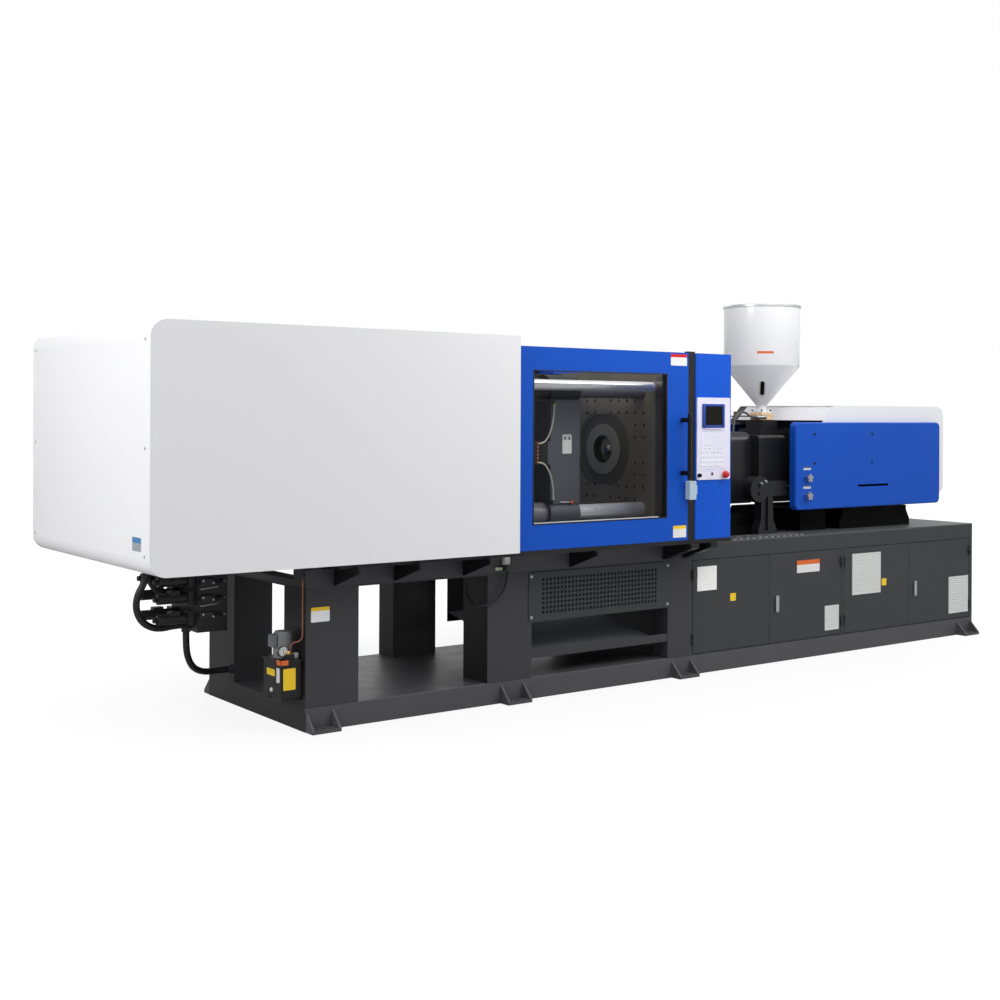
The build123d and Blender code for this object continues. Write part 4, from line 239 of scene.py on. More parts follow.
def casting(name, base, rough=0.5, grain=0.5, oil=0.3, zones=(), gloss=0.3):
    # Painted or oiled casting: a coarse skin and oil stains
    shade = Shade(name)
    skin = shade.noise(140.0, 3.0)
    stain = shade.noise(5.0, 5.0, roughness=0.62)
    tint = shade.mix(shade.ramp(stain, 0.42, 0.7, 0.0, oil), base, toned(base, 0.35))
    tint = shade.mix(shade.ramp(skin, 0.5, 0.8, 0.0, 0.2), tint, toned(base, 1.7, 0.01))
    roughness = shade.ramp(stain, 0.35, 0.7, rough + 0.08, rough - 0.12)
    tint, roughness, metal = shade.zoned(tint, roughness, 0.0, zones)
    shade.bump(skin, grain, 0.0012)
    return shade.done(tint, roughness, metal, Specular_IOR_Level=gloss)


def moulded(name, base, rough=0.35, grain=0.2, zones=(), gloss=0.4):
    # Plastic or rubber with a fine moulded grain
    shade = Shade(name)
    fine = shade.noise(500.0, 1.0)
    cloud = shade.noise(12.0, 3.0)
    tint = shade.mix(shade.ramp(cloud, 0.3, 0.7, 0.0, 0.25), base, toned(base, 0.7))
    for mask, zone_colour, zone_rough, zone_metal in (zone(shade) for zone in zones):
        tint = shade.mix(mask, tint, zone_colour)
    shade.bump(fine, grain, 0.0004)
    return shade.done(tint, shade.ramp(cloud, 0.3, 0.7, rough, rough + 0.1), Specular_IOR_Level=gloss)


def dress(name, material):
    # Gives a node its one finish
    materials = nodes[name].data.materials
    materials.clear()
    materials.append(material)


# Colours of the object's finishes
WHITE = colour(234, 234, 237)
HOPPER_WHITE = colour(246, 246, 248)
BLUE = colour(14, 79, 186)
DARK = colour(59, 60, 63)
FRAME_DARK = colour(62, 62, 65)
BLACK = colour(18, 18, 20)
PLATEN_OLIVE = colour(126, 120, 110)
PLATEN_GREY = colour(88, 89, 98)
CREAM = colour(248, 208, 160)
YELLOW = colour(246, 205, 40)
PLATE_WHITE = colour(236, 236, 234)
ORANGE = colour(226, 106, 46)
RED = colour(205, 22, 30)
INTERLOCK_GREY = colour(176, 196, 210)
IRON_BLACK_AND_SHADE = colour(30, 30, 32)

# Wall planes and centre lines that several pieces share, in metres
FRAME_FACE_Y = -0.520
GATE_FACE_Y = -0.720
GUARD_FACE_Y = -0.450
PLATEN_FACE_Y = -0.400
FOOT_FACE_Y = -0.400
CLAMP_AXIS_Z = 1.26
GREASE_Y = -0.412
HOPPER_X = 1.448
LEFTWARDS, FORWARDS, BACKWARDS, UPWARDS = (-1.0, 0.0, 0.0), (0.0, -1.0, 0.0), (0.0, 1.0, 0.0), (0, 0, 1)

# Sheet metal carried over from the frame
cover_white = powder_coat("white powder coat", WHITE, 0.38, 0.2, 0.03, gloss=0.3)
dark_paint = powder_coat("dark grey paint", DARK, 0.4, 0.5, 0.18, gloss=0.25)
black_paint = powder_coat("black paint", BLACK, 0.42, 0.45, 0.25, gloss=0.25)
hood_white = powder_coat("white hood paint", colour(240, 240, 242), 0.36, 0.2, 0.03, gloss=0.3)

dress("clamp_cover", cover_white)
dress("hood", hood_white)
dress("grille_panel", dark_paint)
# Painted shade: the skid's left end, beyond the leg's left face, is painted darker
SKID_SHADE_ZONES = [zone_box((-2.20, -0.70, 0.0), (-2.1105, 0.70, 0.2), colour(44, 44, 45), 0.4)]
FRAME_LIGHT_AND_SHADE_ZONES = [
    # Painted shade: thin dark layers on the left faces of the two legs
    zone_box((-2.113, -0.53, 0.1), (-2.1105, 0.53, 0.66), colour(36, 36, 37), 0.4),
    zone_box((-1.0885, -0.53, 0.1), (-1.0865, 0.53, 0.66), colour(24, 24, 25), 0.4),
    # Painted light: the beam's front face under the cover is painted lighter than the frame, where the cover shades
    # it
    zone_box((-3.0, -0.53, 0.66), (0.5, -0.5195, 0.751), colour(74, 74, 78), 0.4),
]
# Painted light: the top of the cabinet is painted lighter than its sides
DECK_TOP_LIGHT_ZONES = [zone_box((0.3, -0.53, 0.7325), (3.2, 0.53, 0.76), colour(88, 89, 92), 0.4)]
dress("base_skid", powder_coat("skid paint", colour(80, 79, 82), 0.4, 0.5, 0.18, SKID_SHADE_ZONES, gloss=0.25))
dress("clamp_frame", powder_coat("frame paint", FRAME_DARK, 0.36, 0.5, 0.2, FRAME_LIGHT_AND_SHADE_ZONES, gloss=0.25))
dress("injection_base", powder_coat("cabinet paint", DARK, 0.4, 0.5, 0.18, DECK_TOP_LIGHT_ZONES, gloss=0.25))

# Doors with their pale vents: the vents' X and Z spans and colours. Door 1's vent is painted whiter, as painted
# light, and the others greyer, as painted shade
VENT_SHADED_GREY = colour(214, 216, 214)
VENT_LIT_WHITE = colour(250, 250, 248)
VENTS = {
    "door_1": (0.368, 0.520, 0.466, 0.603, VENT_LIT_WHITE),
    "door_2": (1.452, 1.580, 0.148, 0.298, VENT_SHADED_GREY),
    "door_3": (1.707, 1.981, 0.345, 0.601, VENT_SHADED_GREY),
    "door_4": (2.690, 2.900, 0.150, 0.393, VENT_SHADED_GREY),
}
VENT_EDGE = 0.003
for name, (x0, x1, z0, z1, tone) in VENTS.items():
    low = (x0 - VENT_EDGE, -0.58, z0 - VENT_EDGE)
    high = (x1 + VENT_EDGE, -0.5202, z1 + VENT_EDGE)
    paint_name = name.replace("_", " ") + " paint"
    dress(name, powder_coat(paint_name, DARK, 0.38, 0.5, 0.18, [zone_box(low, high, tone, 0.5)], gloss=0.25))
dress("latch_2", bright_steel("latch chrome", rough=0.1))
dress("latch_4", bright_steel("latch chrome right", rough=0.1))

# Gates, columns and the operator's fittings
dress("front_gate", powder_coat("front gate paint", BLUE, 0.33, 0.35, 0.1, [
    zone_bar((0.054, -0.79, 0), 0.0125, "Z", BLACK, 0.3),
    zone_box((0.03, -0.81, 1.10), (0.08, -0.7205, 1.48), BLACK, 0.3),
    # Painted shade: the window opening's inner faces are painted near black
    zone_box((-0.962, -0.7188, 0.905), (-0.0535, -0.60, 1.685), colour(22, 22, 23), 0.5),
], gloss=0.2))
dress("rear_gate", powder_coat("rear gate paint", BLUE, 0.33, 0.35, 0.1, [
    zone_box((0.03, 0.7205, 1.10), (0.08, 0.81, 1.48), BLACK, 0.3),
], gloss=0.2))
dress("guard_columns", powder_coat("column paint", colour(16, 84, 200), 0.3, 0.35, 0.1, [
    zone_box((0.076, -0.790, 1.0), (0.1285, -0.7195, 1.11), INTERLOCK_GREY, 0.4),
    zone_box((0.076, -0.790, 1.0), (0.168, -0.7203, 1.082), INTERLOCK_GREY, 0.4),
], gloss=0.2))
glass = Shade("clear pane")
smudge = glass.ramp(glass.noise(4.0, 3.0), 0.4, 0.7, 0.02, 0.05)
dress("front_gate_window", glass.done((0.02, 0.024, 0.024, 1), smudge, Alpha=0.07, Specular_IOR_Level=0.3))

dress("gate_rails", powder_coat("rail paint", BLACK, 0.4, 0.4, 0.2, [
    zone_bar((0, -0.470, 1.614), 0.0285, "X", colour(248, 249, 250), 0.24, 0.6),
    # Painted highlight: a pale strip along the top of the lower rail
    zone_box((-1.10, -0.656, 0.9035), (0.06, -0.639, 0.906), colour(190, 190, 184), 0.4),
]))
panel_sheet = moulded("keypad sheet", colour(230, 229, 246), 0.4, 0.1)
dress("control_panel", panel_sheet)
dress("estop_button", moulded("red button", RED, 0.25, 0.1, [
    zone_box((0.3, -0.7275, 1.1), (0.45, -0.5, 1.2), YELLOW),
]))
dress("key_switch", moulded("black key switch", BLACK, 0.3, 0.1))

# Clamp unit
BORE_CENTRE = (0, 0, CLAMP_AXIS_Z)
dress("fixed_platen", casting("oiled platen", PLATEN_OLIVE, 0.42, 0.25, 0.2, [
    zone_cut_bar(BORE_CENTRE, 0.232, "X", (0.05, -0.3, 1.055), (0.2, 0.3, 1.465), colour(96, 92, 82), 0.4),
    zone_bar(BORE_CENTRE, 0.147, "X", colour(150, 147, 137), 0.38),
    # Painted shade: the bore is painted near black
    zone_bar(BORE_CENTRE, 0.081, "X", colour(16, 15, 14), 0.6),
]))
dress("moving_platen", casting("painted platen", PLATEN_GREY, 0.45, 0.35, 0.15, [
    # Painted shade: the front of the platen left of its edge is painted near black
    zone_box((-1.2, -0.45, 1.16), (-0.612, -0.30, 1.37), colour(24, 24, 25), 0.5),
    # Painted shade: the upper bushes and the platen's top are painted black
    zone_box((-1.2, -0.60, 1.54), (-0.2, 0.60, 1.90), IRON_BLACK_AND_SHADE, 0.5),
    # Painted light: the lower bushes are painted lighter than the platen; their lower roughness gives an oily gloss
    zone_box((-1.2, -0.60, 0.80), (-0.612, -0.25, 1.02), colour(118, 117, 126), 0.2),
]))
dress("tail_stock", casting("painted tail stock", PLATEN_GREY, 0.45, 0.45, 0.2))
dress("tie_bars", bright_steel("hard chrome", colour(240, 242, 246), 0.26, (0.05, 1, 1), 0.06, 0.4, [
    # Painted shade: the upper tie bars are painted darker than the lower ones
    zone_box((-1.5, -0.6, 1.45), (0.2, 0.6, 1.9), colour(110, 110, 114), 0.25, 0.4),
]))
dress("carriage_rods", bright_steel("ground rod", rough=0.12, brushed=(0.05, 1, 1), depth=0.06))
link_iron = casting("link iron", colour(82, 83, 88), 0.4, 0.4, 0.3)
for link in ("rear", "front", "cross"):
    for side in ("upper", "lower"):
        dress(f"{link}_link_{side}", link_iron)
ground_steel = bright_steel("ground steel", rough=0.25, brushed=(1, 0.1, 1))
dress("crosshead", ground_steel)
dress("ejector", ground_steel)
dress("clamp_cylinder", black_paint)

# Injection unit
for name, finish in {
    "pedestals": powder_coat("pedestal paint", colour(8, 8, 9), 0.5, 0.45, 0.25, gloss=0.05),
    "carriage_housing": casting("black casting", IRON_BLACK_AND_SHADE, 0.42, 0.4, 0.2),
    "front_feet": casting("black feet", colour(27, 27, 29), 0.4, 0.5, 0.2),
    "barrel_shroud": powder_coat("shroud paint", colour(34, 34, 37), 0.3, 0.3, 0.2),
    "barrel": bright_steel("heater band steel", colour(150, 148, 144), 0.3, (0.1, 1, 1), 0.2),
    "screw": ground_steel,
    "injection_ram": powder_coat("ram paint", colour(52, 60, 78), 0.4, 0.4, 0.15),
    "side_guards": powder_coat("side guard paint", colour(18, 80, 186), 0.33, 0.35, 0.1, gloss=0.2),
    "hopper_lid": bright_steel("lid sheet", colour(206, 206, 208), 0.35, (1, 1, 1), 0.08, 0.85),
    "shutter": bright_steel("slide plate", colour(120, 104, 90), 0.4, (0.1, 1, 1), 0.3, 0.7),
    "valve_knob_upper": bright_steel("knob chrome"),
    "valve_knob_lower": bright_steel("knob chrome low"),
}.items():
    dress(name, finish)

# Step plate: its ribs are bumped and also painted light and dark, as painted highlights and shade; the wear is
# darker at random
tread = Shade("step plate with slanting ribs")
along_ribs = tread.vector("DOT_PRODUCT", tread.place, (1.0, 1.0, 0.0))
rib_relief_and_highlights = tread.ramp(tread.math("SINE", tread.math("MULTIPLY", along_ribs, 120.0)), 0.1, 0.7)
tread_wear = tread.ramp(tread.noise(9.0, 3.0), 0.3, 0.7, 0.0, 0.3)
tread_tint = tread.mix(rib_relief_and_highlights, colour(58, 58, 60), colour(176, 177, 180))
tread_tint = tread.mix(tread_wear, tread_tint, colour(70, 70, 72))
tread.bump(rib_relief_and_highlights, 0.5, 0.002)
dress("step_plate", tread.done(tread_tint, tread.ramp(rib_relief_and_highlights, 0.0, 1.0, 0.5, 0.32), 0.3))

# Pumps and valves
dress("lube_pump", powder_coat("lubricator paint", BLACK, 0.4, 0.4, 0.2, [
    zone_bar((-2.166, -0.400, 0), 0.043, "Z", colour(150, 152, 156), 0.45),
    zone_box((-2.275, -0.47, 0.372), (-2.207, -0.33, 0.47), colour(118, 120, 124), 0.45),
]))
dress("lube_pipe", bright_steel("copper pipe", colour(196, 112, 78), 0.25, (1, 1, 1), 0.2))
dress("valve_block", casting("valve block black", IRON_BLACK_AND_SHADE, 0.36, 0.3, 0.2))
dress("pump_set", powder_coat("pump paint", colour(60, 84, 128), 0.4, 0.4, 0.15))

# Free hoses, cables and grease tubes, on the routes of their solids, in mm: diameter, stiffness, length, points
ROUTES = {
    "hose_1": (32, "medium", 495, [
        (-2700, -90, 756), (-2700, -90, 692), (-2738, -82, 628), (-2742, -74, 560), (-2711, -64, 500),
        (-2654, -52, 465), (-2596, -40, 458), (-2546, -32, 464), (-2499, -32, 464),
    ]),
    "hose_2": (32, "medium", 247, [
        (-2644, 34, 756), (-2644, 34, 702), (-2622, 34, 652), (-2584, 33, 616), (-2540, 32, 600),
        (-2499, 32, 600),
    ]),
    "hose_3": (32, "medium", 503, [
        (-2440, 60, 416), (-2440, 60, 352), (-2420, 84, 284), (-2376, 124, 228), (-2314, 174, 196),
        (-2252, 222, 180), (-2194, 246, 176), (-2136, 246, 176),
    ]),
    "frame_cable": (14, "limp", 450, [
        (-985, -548, 672), (-985, -548, 628), (-1010, -552, 568), (-1062, -552, 522), (-1122, -540, 502),
        (-1156, -500, 508), (-1162, -452, 540), (-1156, -418, 588), (-1156, -418, 634),
    ]),
    "hopper_cable": (14, "limp", 299, [
        (1130, -60, 1350), (1130, -60, 1404), (1148, -64, 1454), (1188, -69, 1482), (1234, -73, 1478),
        (1264, -75, 1450), (1326, -75, 1450),
    ]),
    "grease_tube_1": (8, "medium", 259, [
        (-686, -412, 1306), (-656, -412, 1306), (-628, -416, 1332), (-606, -418, 1378), (-590, -417, 1430),
        (-580, -412, 1480), (-580, -412, 1516),
    ]),
    "grease_tube_2": (8, "medium", 246, [
        (-686, -412, 1206), (-656, -412, 1206), (-628, -416, 1180), (-606, -418, 1134), (-592, -417, 1086),
        (-584, -412, 1042), (-584, -412, 1008),
    ]),
    "lube_pipe": (8, "stiff", 365, [
        (-2162, -470, 366), (-2162, -470, 396), (-2150, -480, 412), (-2132, -496, 415), (-2120, -507, 431),
        (-2120, -507, 451), (-2120, -507, 700),
    ]),
}
CORD_BODY = {"hopper_cable": "carriage", "grease_tube_1": "moving_platen", "grease_tube_2": "moving_platen"}
black_rubber = moulded("black rubber", colour(26, 26, 28), 0.42, 0.4)
cable_grey = moulded("grey sheath", colour(92, 94, 98), 0.5, 0.3)
nylon = moulded("natural nylon", colour(206, 210, 190), 0.3, 0.1)
copper = bright_steel("bent copper", colour(158, 104, 84), 0.42, (1, 1, 1), 0.2, 0.7)
CORD_FINISH = {
    "grease_tube_1": nylon, "grease_tube_2": nylon, "lube_pipe": copper, "hopper_cable": cable_grey,
}


def metres(v):
    return v / 1000


def free_cord(name, diameter, points):
    # A round cord on one smooth curve through the route's control points
    line = bpy.data.curves.new(name + "_line", "CURVE")
    line.dimensions = "3D"
    line.bevel_depth = diameter / 2
    line.bevel_resolution = 5
    line.resolution_u = 10
    line.use_fill_caps = True
    spline = line.splines.new("NURBS")
    spline.points.add(len(points) - 1)
    for point, place in zip(spline.points, points):
        point.co = (*place, 1)
    spline.order_u = 3
    spline.use_endpoint_u = True
    cord = bpy.data.objects.new(name + "_cord", line)
    link_object(cord)
    line.materials.append(CORD_FINISH.get(name, black_rubber))
    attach(cord, CORD_BODY.get(name, "machine"))
    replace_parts(cord, name)


for name, (diameter, stiffness, length, points) in ROUTES.items():
    free_cord(name, metres(diameter), [tuple(map(metres, point)) for point in points])


class Piece:
    """One fitted piece in mesh code: plates, bars and turned shapes, each with its finish."""

    def __init__(self, name, body, slot, *finishes):
        self.name = name
        self.body = body
        self.slot = slot
        self.finishes = finishes
        self.mesh = bmesh.new()

    def take(self, made, finish, smooth=False):
        # Adds a small closed mesh to the piece, with its faces outwards
        bmesh.ops.remove_doubles(made, verts=made.verts[:], dist=1e-6)
        bmesh.ops.recalc_face_normals(made, faces=made.faces[:])
        for face in made.faces:
            face.material_index = finish
            face.smooth = smooth
        spare = bpy.data.meshes.new("spare")
        made.to_mesh(spare)
        made.free()
        self.mesh.from_mesh(spare)
        bpy.data.meshes.remove(spare)

    def prism(self, outline, depth, finish=0, bevel=0.0):
        # A flat outline of points, pushed along depth
        made = bmesh.new()
        face = made.faces.new([made.verts.new(point) for point in outline])
        grown = bmesh.ops.extrude_face_region(made, geom=[face])
        moved = [item for item in grown["geom"] if isinstance(item, bmesh.types.BMVert)]
        bmesh.ops.translate(made, verts=moved, vec=depth)
        if bevel:
            bmesh.ops.bevel(made, geom=made.edges[:], offset=bevel, segments=2, affect="EDGES", profile=0.5)
        self.take(made, finish)

    def box(self, low, high, finish=0, bevel=0.0):
        (x0, y0, z0), (x1, y1, z1) = low, high
        outline = [(x0, y0, z0), (x1, y0, z0), (x1, y1, z0), (x0, y1, z0)]
        self.prism(outline, (0, 0, z1 - z0), finish, bevel)

    def plate(self, facing, at, low, high, thick, radius=0.0, finish=0, bevel=0.0):
        # A plate with round corners on a wall that faces that way, between two corners
        steps = 5 if radius else 0
        outline = []
        corners = ((high[0] - radius, high[1] - radius, 0), (low[0] + radius, high[1] - radius, 1),
                   (low[0] + radius, low[1] + radius, 2), (high[0] - radius, low[1] + radius, 3))
        for u, v, quarter in corners:
            for step in range(steps + 1):
                turn = math.radians(90 * quarter + (90 * step / steps if steps else 0))
                outline.append((u + radius * math.cos(turn), v + radius * math.sin(turn)))
        way = "XYZ".index(facing[1])
        depth = [0, 0, 0]
        depth[way] = -thick if facing[0] == "-" else thick
        self.prism([(*spot[:way], at, *spot[way:]) for spot in outline], depth, finish, bevel)

    def turned(self, profile, seat, along, finish=0, sides=28, hollow=False):
        # (radius, height) pairs turned about an axis from seat; a hollow one closes on itself
        made = bmesh.new()
        way = Vector(along).normalized()
        turn = way.to_track_quat("Z", "Y").to_matrix()
        rings = []
        for radius, height in profile:
            if radius < 1e-6:
                rings.append([made.verts.new(Vector(seat) + way * height)])
                continue
            ring = []
            for step in range(sides):
                angle = 2 * math.pi * step / sides
                flat = turn @ Vector((radius * math.cos(angle), radius * math.sin(angle), height))
                ring.append(made.verts.new(Vector(seat) + flat))
            rings.append(ring)
        around = rings + rings[:1] if hollow else rings
        for lower, upper in zip(around, around[1:]):
            for step in range(sides):
                after = (step + 1) % sides
                corners = [ring[place % len(ring)] for ring, place in
                           ((lower, step), (lower, after), (upper, after), (upper, step))]
                made.faces.new(list(dict.fromkeys(corners)))
        for ring, flip in ((rings[0], True), (rings[-1], False)):
            if len(ring) > 2 and not hollow:
                made.faces.new(ring[::-1] if flip else ring)
        self.take(made, finish, sides > 8)

    def bar(self, start, end, radius, finish=0, sides=20):
        # A round or many-sided bar with its end edges broken
        length = (Vector(end) - Vector(start)).length
        edge = min(radius * 0.15, length * 0.2)
        profile = [(radius - edge, 0), (radius, edge), (radius, length - edge), (radius - edge, length)]
        self.turned(profile, start, Vector(end) - Vector(start), finish, sides)

    def done(self):
        data = bpy.data.meshes.new(self.name)
        self.mesh.to_mesh(data)
        self.mesh.free()
        piece = bpy.data.objects.new(self.name, data)
        link_object(piece)
        for finish in self.finishes:
            data.materials.append(finish)
        if data.polygons:
            data.set_sharp_from_angle(angle=math.radians(35))
        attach(piece, self.body)
        return piece


class Pattern:
    """A Geometry Nodes tree under construction, with named sizes as its inputs."""

    def __init__(self, name, **sizes):
        self.tree = bpy.data.node_groups.new(name, "GeometryNodeTree")
        face = self.tree.interface
        face.new_socket("Geometry", in_out="INPUT", socket_type="NodeSocketGeometry")
        face.new_socket("Geometry", in_out="OUTPUT", socket_type="NodeSocketGeometry")
        kinds = {float: "NodeSocketFloat", int: "NodeSocketInt", tuple: "NodeSocketVector"}
        self.sockets = {}
        for key, value in sizes.items():
            socket = face.new_socket(key, in_out="INPUT", socket_type=kinds[type(value)])
            socket.default_value = value
            self.sockets[key] = socket.identifier
        paint = face.new_socket("Finish", in_out="INPUT", socket_type="NodeSocketMaterial")
        self.sockets["Finish"] = paint.identifier
        self.start = self.tree.nodes.new("NodeGroupInput")
        self.sizes = self.start.outputs

    def node(self, kind, values=None, **options):
        made = self.tree.nodes.new(kind)
        for key, value in options.items():
            setattr(made, key, value)
        for key, value in (values or {}).items():
            socket = made.inputs[key]
            if isinstance(value, bpy.types.NodeSocket):
                self.tree.links.new(value, socket)
            else:
                socket.default_value = value
        return made

    def math(self, operation, a, b):
        return self.node("ShaderNodeMath", {0: a, 1: b}, operation=operation).outputs[0]

    def vector(self, x, y, z):
        return self.node("ShaderNodeCombineXYZ", {0: x, 1: y, 2: z}).outputs[0]

    def moved(self, shape, by, turn=(0, 0, 0)):
        made = self.node("GeometryNodeTransform", {"Geometry": shape, "Translation": by, "Rotation": turn})
        return made.outputs[0]

    def copies(self, points, shape, turn=(0, 0, 0)):
        inputs = {"Points": points, "Instance": shape, "Rotation": turn}
        return self.node("GeometryNodeInstanceOnPoints", inputs).outputs[0]

    def joined(self, *shapes):
        made = self.tree.nodes.new("GeometryNodeJoinGeometry")
        for shape in shapes:
            self.tree.links.new(shape, made.inputs[0])
        return made.outputs[0]

    def close(self, shape):
        # Ends the tree with real geometry in one finish
        real = self.node("GeometryNodeRealizeInstances", {"Geometry": shape}).outputs[0]
        painted = self.node("GeometryNodeSetMaterial", {"Geometry": real, "Material": self.sizes["Finish"]})
        self.tree.links.new(painted.outputs[0], self.tree.nodes.new("NodeGroupOutput").inputs[0])
        return self

    def grow(self, name, body, slot, finish, points, **values):
        # Runs the tree on loose points and keeps the result as a plain mesh
        seats = bpy.data.meshes.new(name + "_seats")
        seats.from_pydata(list(points), [], [])
        piece = bpy.data.objects.new(name, seats)
        link_object(piece)
        modifier = piece.modifiers.new("pattern", "NODES")
        modifier.node_group = self.tree
        for key, value in values.items():
            modifier[self.sockets[key]] = value
        modifier[self.sockets["Finish"]] = finish
        piece.update_tag()
        graph = bpy.context.evaluated_depsgraph_get()
        plain = bpy.data.meshes.new_from_object(piece.evaluated_get(graph), depsgraph=graph)
        piece.modifiers.remove(modifier)
        piece.data = plain
        bpy.data.meshes.remove(seats)
        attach(piece, body)
        return piece


def screw_pattern():
    # Button head screws with a six-sided socket, one on each point
    p = Pattern("button screws", Radius=0.006, Height=0.003, Facing=(0.0, -1.0, 0.0))
    head = p.node("GeometryNodeMeshCone", {
        "Vertices": 20, "Radius Top": p.math("MULTIPLY", p.sizes["Radius"], 0.72),
        "Radius Bottom": p.sizes["Radius"], "Depth": p.sizes["Height"],
    }).outputs["Mesh"]
    key = p.node("GeometryNodeMeshCone", {
        "Vertices": 6, "Radius Top": p.math("MULTIPLY", p.sizes["Radius"], 0.45),
        "Radius Bottom": p.math("MULTIPLY", p.sizes["Radius"], 0.40), "Depth": p.sizes["Height"],
    }).outputs["Mesh"]
    key = p.moved(key, p.vector(0.0, 0.0, p.math("MULTIPLY", p.sizes["Height"], 0.35)))
    cut = p.node("GeometryNodeMeshBoolean", operation="DIFFERENCE", solver="EXACT")
    p.tree.links.new(head, cut.inputs[0])
    p.tree.links.new(key, cut.inputs[1])
    turn = p.node("FunctionNodeAlignRotationToVector", {"Vector": p.sizes["Facing"]}, axis="Z").outputs[0]
    return p.close(p.copies(p.sizes["Geometry"], cut.outputs[0], turn))


def perforated_pattern():
    # A sheet that faces -Y with a field of round holes
    p = Pattern("perforated sheet", Width=1.0, Height=0.29, Thickness=0.004, Hole=0.011,
                Columns=33, Rows=8, Pitch_X=0.026, Pitch_Z=0.026, Left=0.1, Low=0.05)
    width, height = p.sizes["Width"], p.sizes["Height"]
    outline = p.node("GeometryNodeCurvePrimitiveQuadrilateral", {"Width": width, "Height": height})
    middle = p.vector(p.math("MULTIPLY", width, 0.5), p.math("MULTIPLY", height, 0.5), 0.0)
    sheet = p.moved(outline.outputs[0], middle)
    hole = p.node("GeometryNodeCurvePrimitiveCircle", {"Resolution": 12, "Radius": p.sizes["Hole"]}).outputs[0]
    row = p.node("GeometryNodeMeshLine", {
        "Count": p.sizes["Columns"], "Start Location": p.vector(p.sizes["Left"], p.sizes["Low"], 0.0),
        "Offset": p.vector(p.sizes["Pitch_X"], 0.0, 0.0),
    }).outputs[0]
    rise = p.node("GeometryNodeMeshLine", {
        "Count": p.sizes["Rows"], "Offset": p.vector(0.0, p.sizes["Pitch_Z"], 0.0),
    }).outputs[0]
    field = p.node("GeometryNodeRealizeInstances", {"Geometry": p.copies(rise, row)}).outputs[0]
    holes = p.node("GeometryNodeRealizeInstances", {"Geometry": p.copies(field, hole)}).outputs[0]
    face = p.node("GeometryNodeFillCurve", {"Curve": p.joined(sheet, holes)}).outputs[0]
    wall = p.node("GeometryNodeExtrudeMesh", {
        "Mesh": face, "Offset Scale": p.sizes["Thickness"], "Individual": False,
    }, mode="FACES").outputs[0]
    back = p.node("GeometryNodeFlipFaces", {"Mesh": face}).outputs[0]
    closed = p.node("GeometryNodeMergeByDistance", {"Geometry": p.joined(wall, back), "Distance": 0.00001})
    upright = p.moved(closed.outputs[0], (0.0, 0.0, 0.0), (math.radians(90), 0.0, 0.0))
    return p.close(p.copies(p.sizes["Geometry"], upright))


def fin_pattern():
    # Thin round fins, one on each point, with upright axes
    p = Pattern("motor fins", Radius=0.044, Thickness=0.003)
    sizes = {"Vertices": 40, "Radius": p.sizes["Radius"], "Depth": p.sizes["Thickness"]}
    fin = p.node("GeometryNodeMeshCylinder", sizes).outputs["Mesh"]
    return p.close(p.copies(p.sizes["Geometry"], fin))


# Screws in the sheet metal and on the front foot
screws = screw_pattern()
zinc = bright_steel("zinc plated screw", colour(186, 188, 192), 0.28)
black_zinc = bright_steel("black screw", colour(58, 58, 62), 0.35)

cover_end_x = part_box("clamp_cover")[0][0]
sheet_low, sheet_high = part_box("grille_panel")
SHEET_BOTTOM = 0.394
cover_seats = [(cover_end_x, y, z) for y in (-0.695, 0.710) for z in (1.760, 1.311, 0.865)]
sheet_seats = [(x, sheet_low[1], z) for x, z in ((-0.813, 0.626), (-0.812, 0.416), (0.140, 0.626), (0.139, 0.414))]
guard_seats = [(x, GUARD_FACE_Y, z) for x in (1.437, 1.985) for z in (1.347, 1.167)]
rear_seats = [(x, -y, z) for x, y, z in guard_seats]
foot_seats = [(1.021, FOOT_FACE_Y, 1.051), (1.059, FOOT_FACE_Y, 1.063)]
for name, body, slot, finish, seats, radius, height, facing in (
    ("cover_end_screws", "machine", "clamp_cover", zinc, cover_seats, 0.008, 0.0006, LEFTWARDS),
    ("grille_screws", "machine", "grille_panel", zinc, sheet_seats, 0.009, 0.004, FORWARDS),
    ("side_screws_front", "carriage", "side_guards", black_zinc, guard_seats, 0.009, 0.004, FORWARDS),
    ("side_screws_rear", "carriage", "side_guards", black_zinc, rear_seats, 0.009, 0.004, BACKWARDS),
    ("foot_bolts_front", "carriage", "front_feet", zinc, foot_seats, 0.010, 0.007, FORWARDS),
):
    screws.grow(name, body, slot, finish, seats, Radius=radius, Height=height, Facing=facing)

# Perforated sheet under the mould space
panel = perforated_pattern().grow(
    "perforated_panel", "machine", "grille_panel", dark_paint, [(sheet_low[0], sheet_high[1], SHEET_BOTTOM)],
    Width=sheet_high[0] - sheet_low[0], Height=sheet_high[2] - SHEET_BOTTOM, Thickness=sheet_high[1] - sheet_low[1],
    Hole=0.0085, Columns=33, Rows=8, Pitch_X=0.0245, Pitch_Z=0.0242, Left=0.0945, Low=0.044,
)
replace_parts(panel, "grille_panel")


def sign(name, body, slot, facing, at, low, high, base, tone, share, thick=0.0008, radius=0.004):
    # A thin plate with a band of another colour across its top
    edge = high[1] - (high[1] - low[1]) * share
    if facing[1] == "Y":
        reach = ((low[0] - 1, -9, edge), (high[0] + 1, 9, 9))
    else:
        reach = ((-9, low[0] - 1, edge), (9, high[0] + 1, 9))
    piece = Piece(name, body, slot, moulded(name.replace("_", " "), base, 0.35, 0.1, [zone_box(*reach, tone)]))
    piece.plate(facing, at, low, high, thick, radius)
    piece.done()


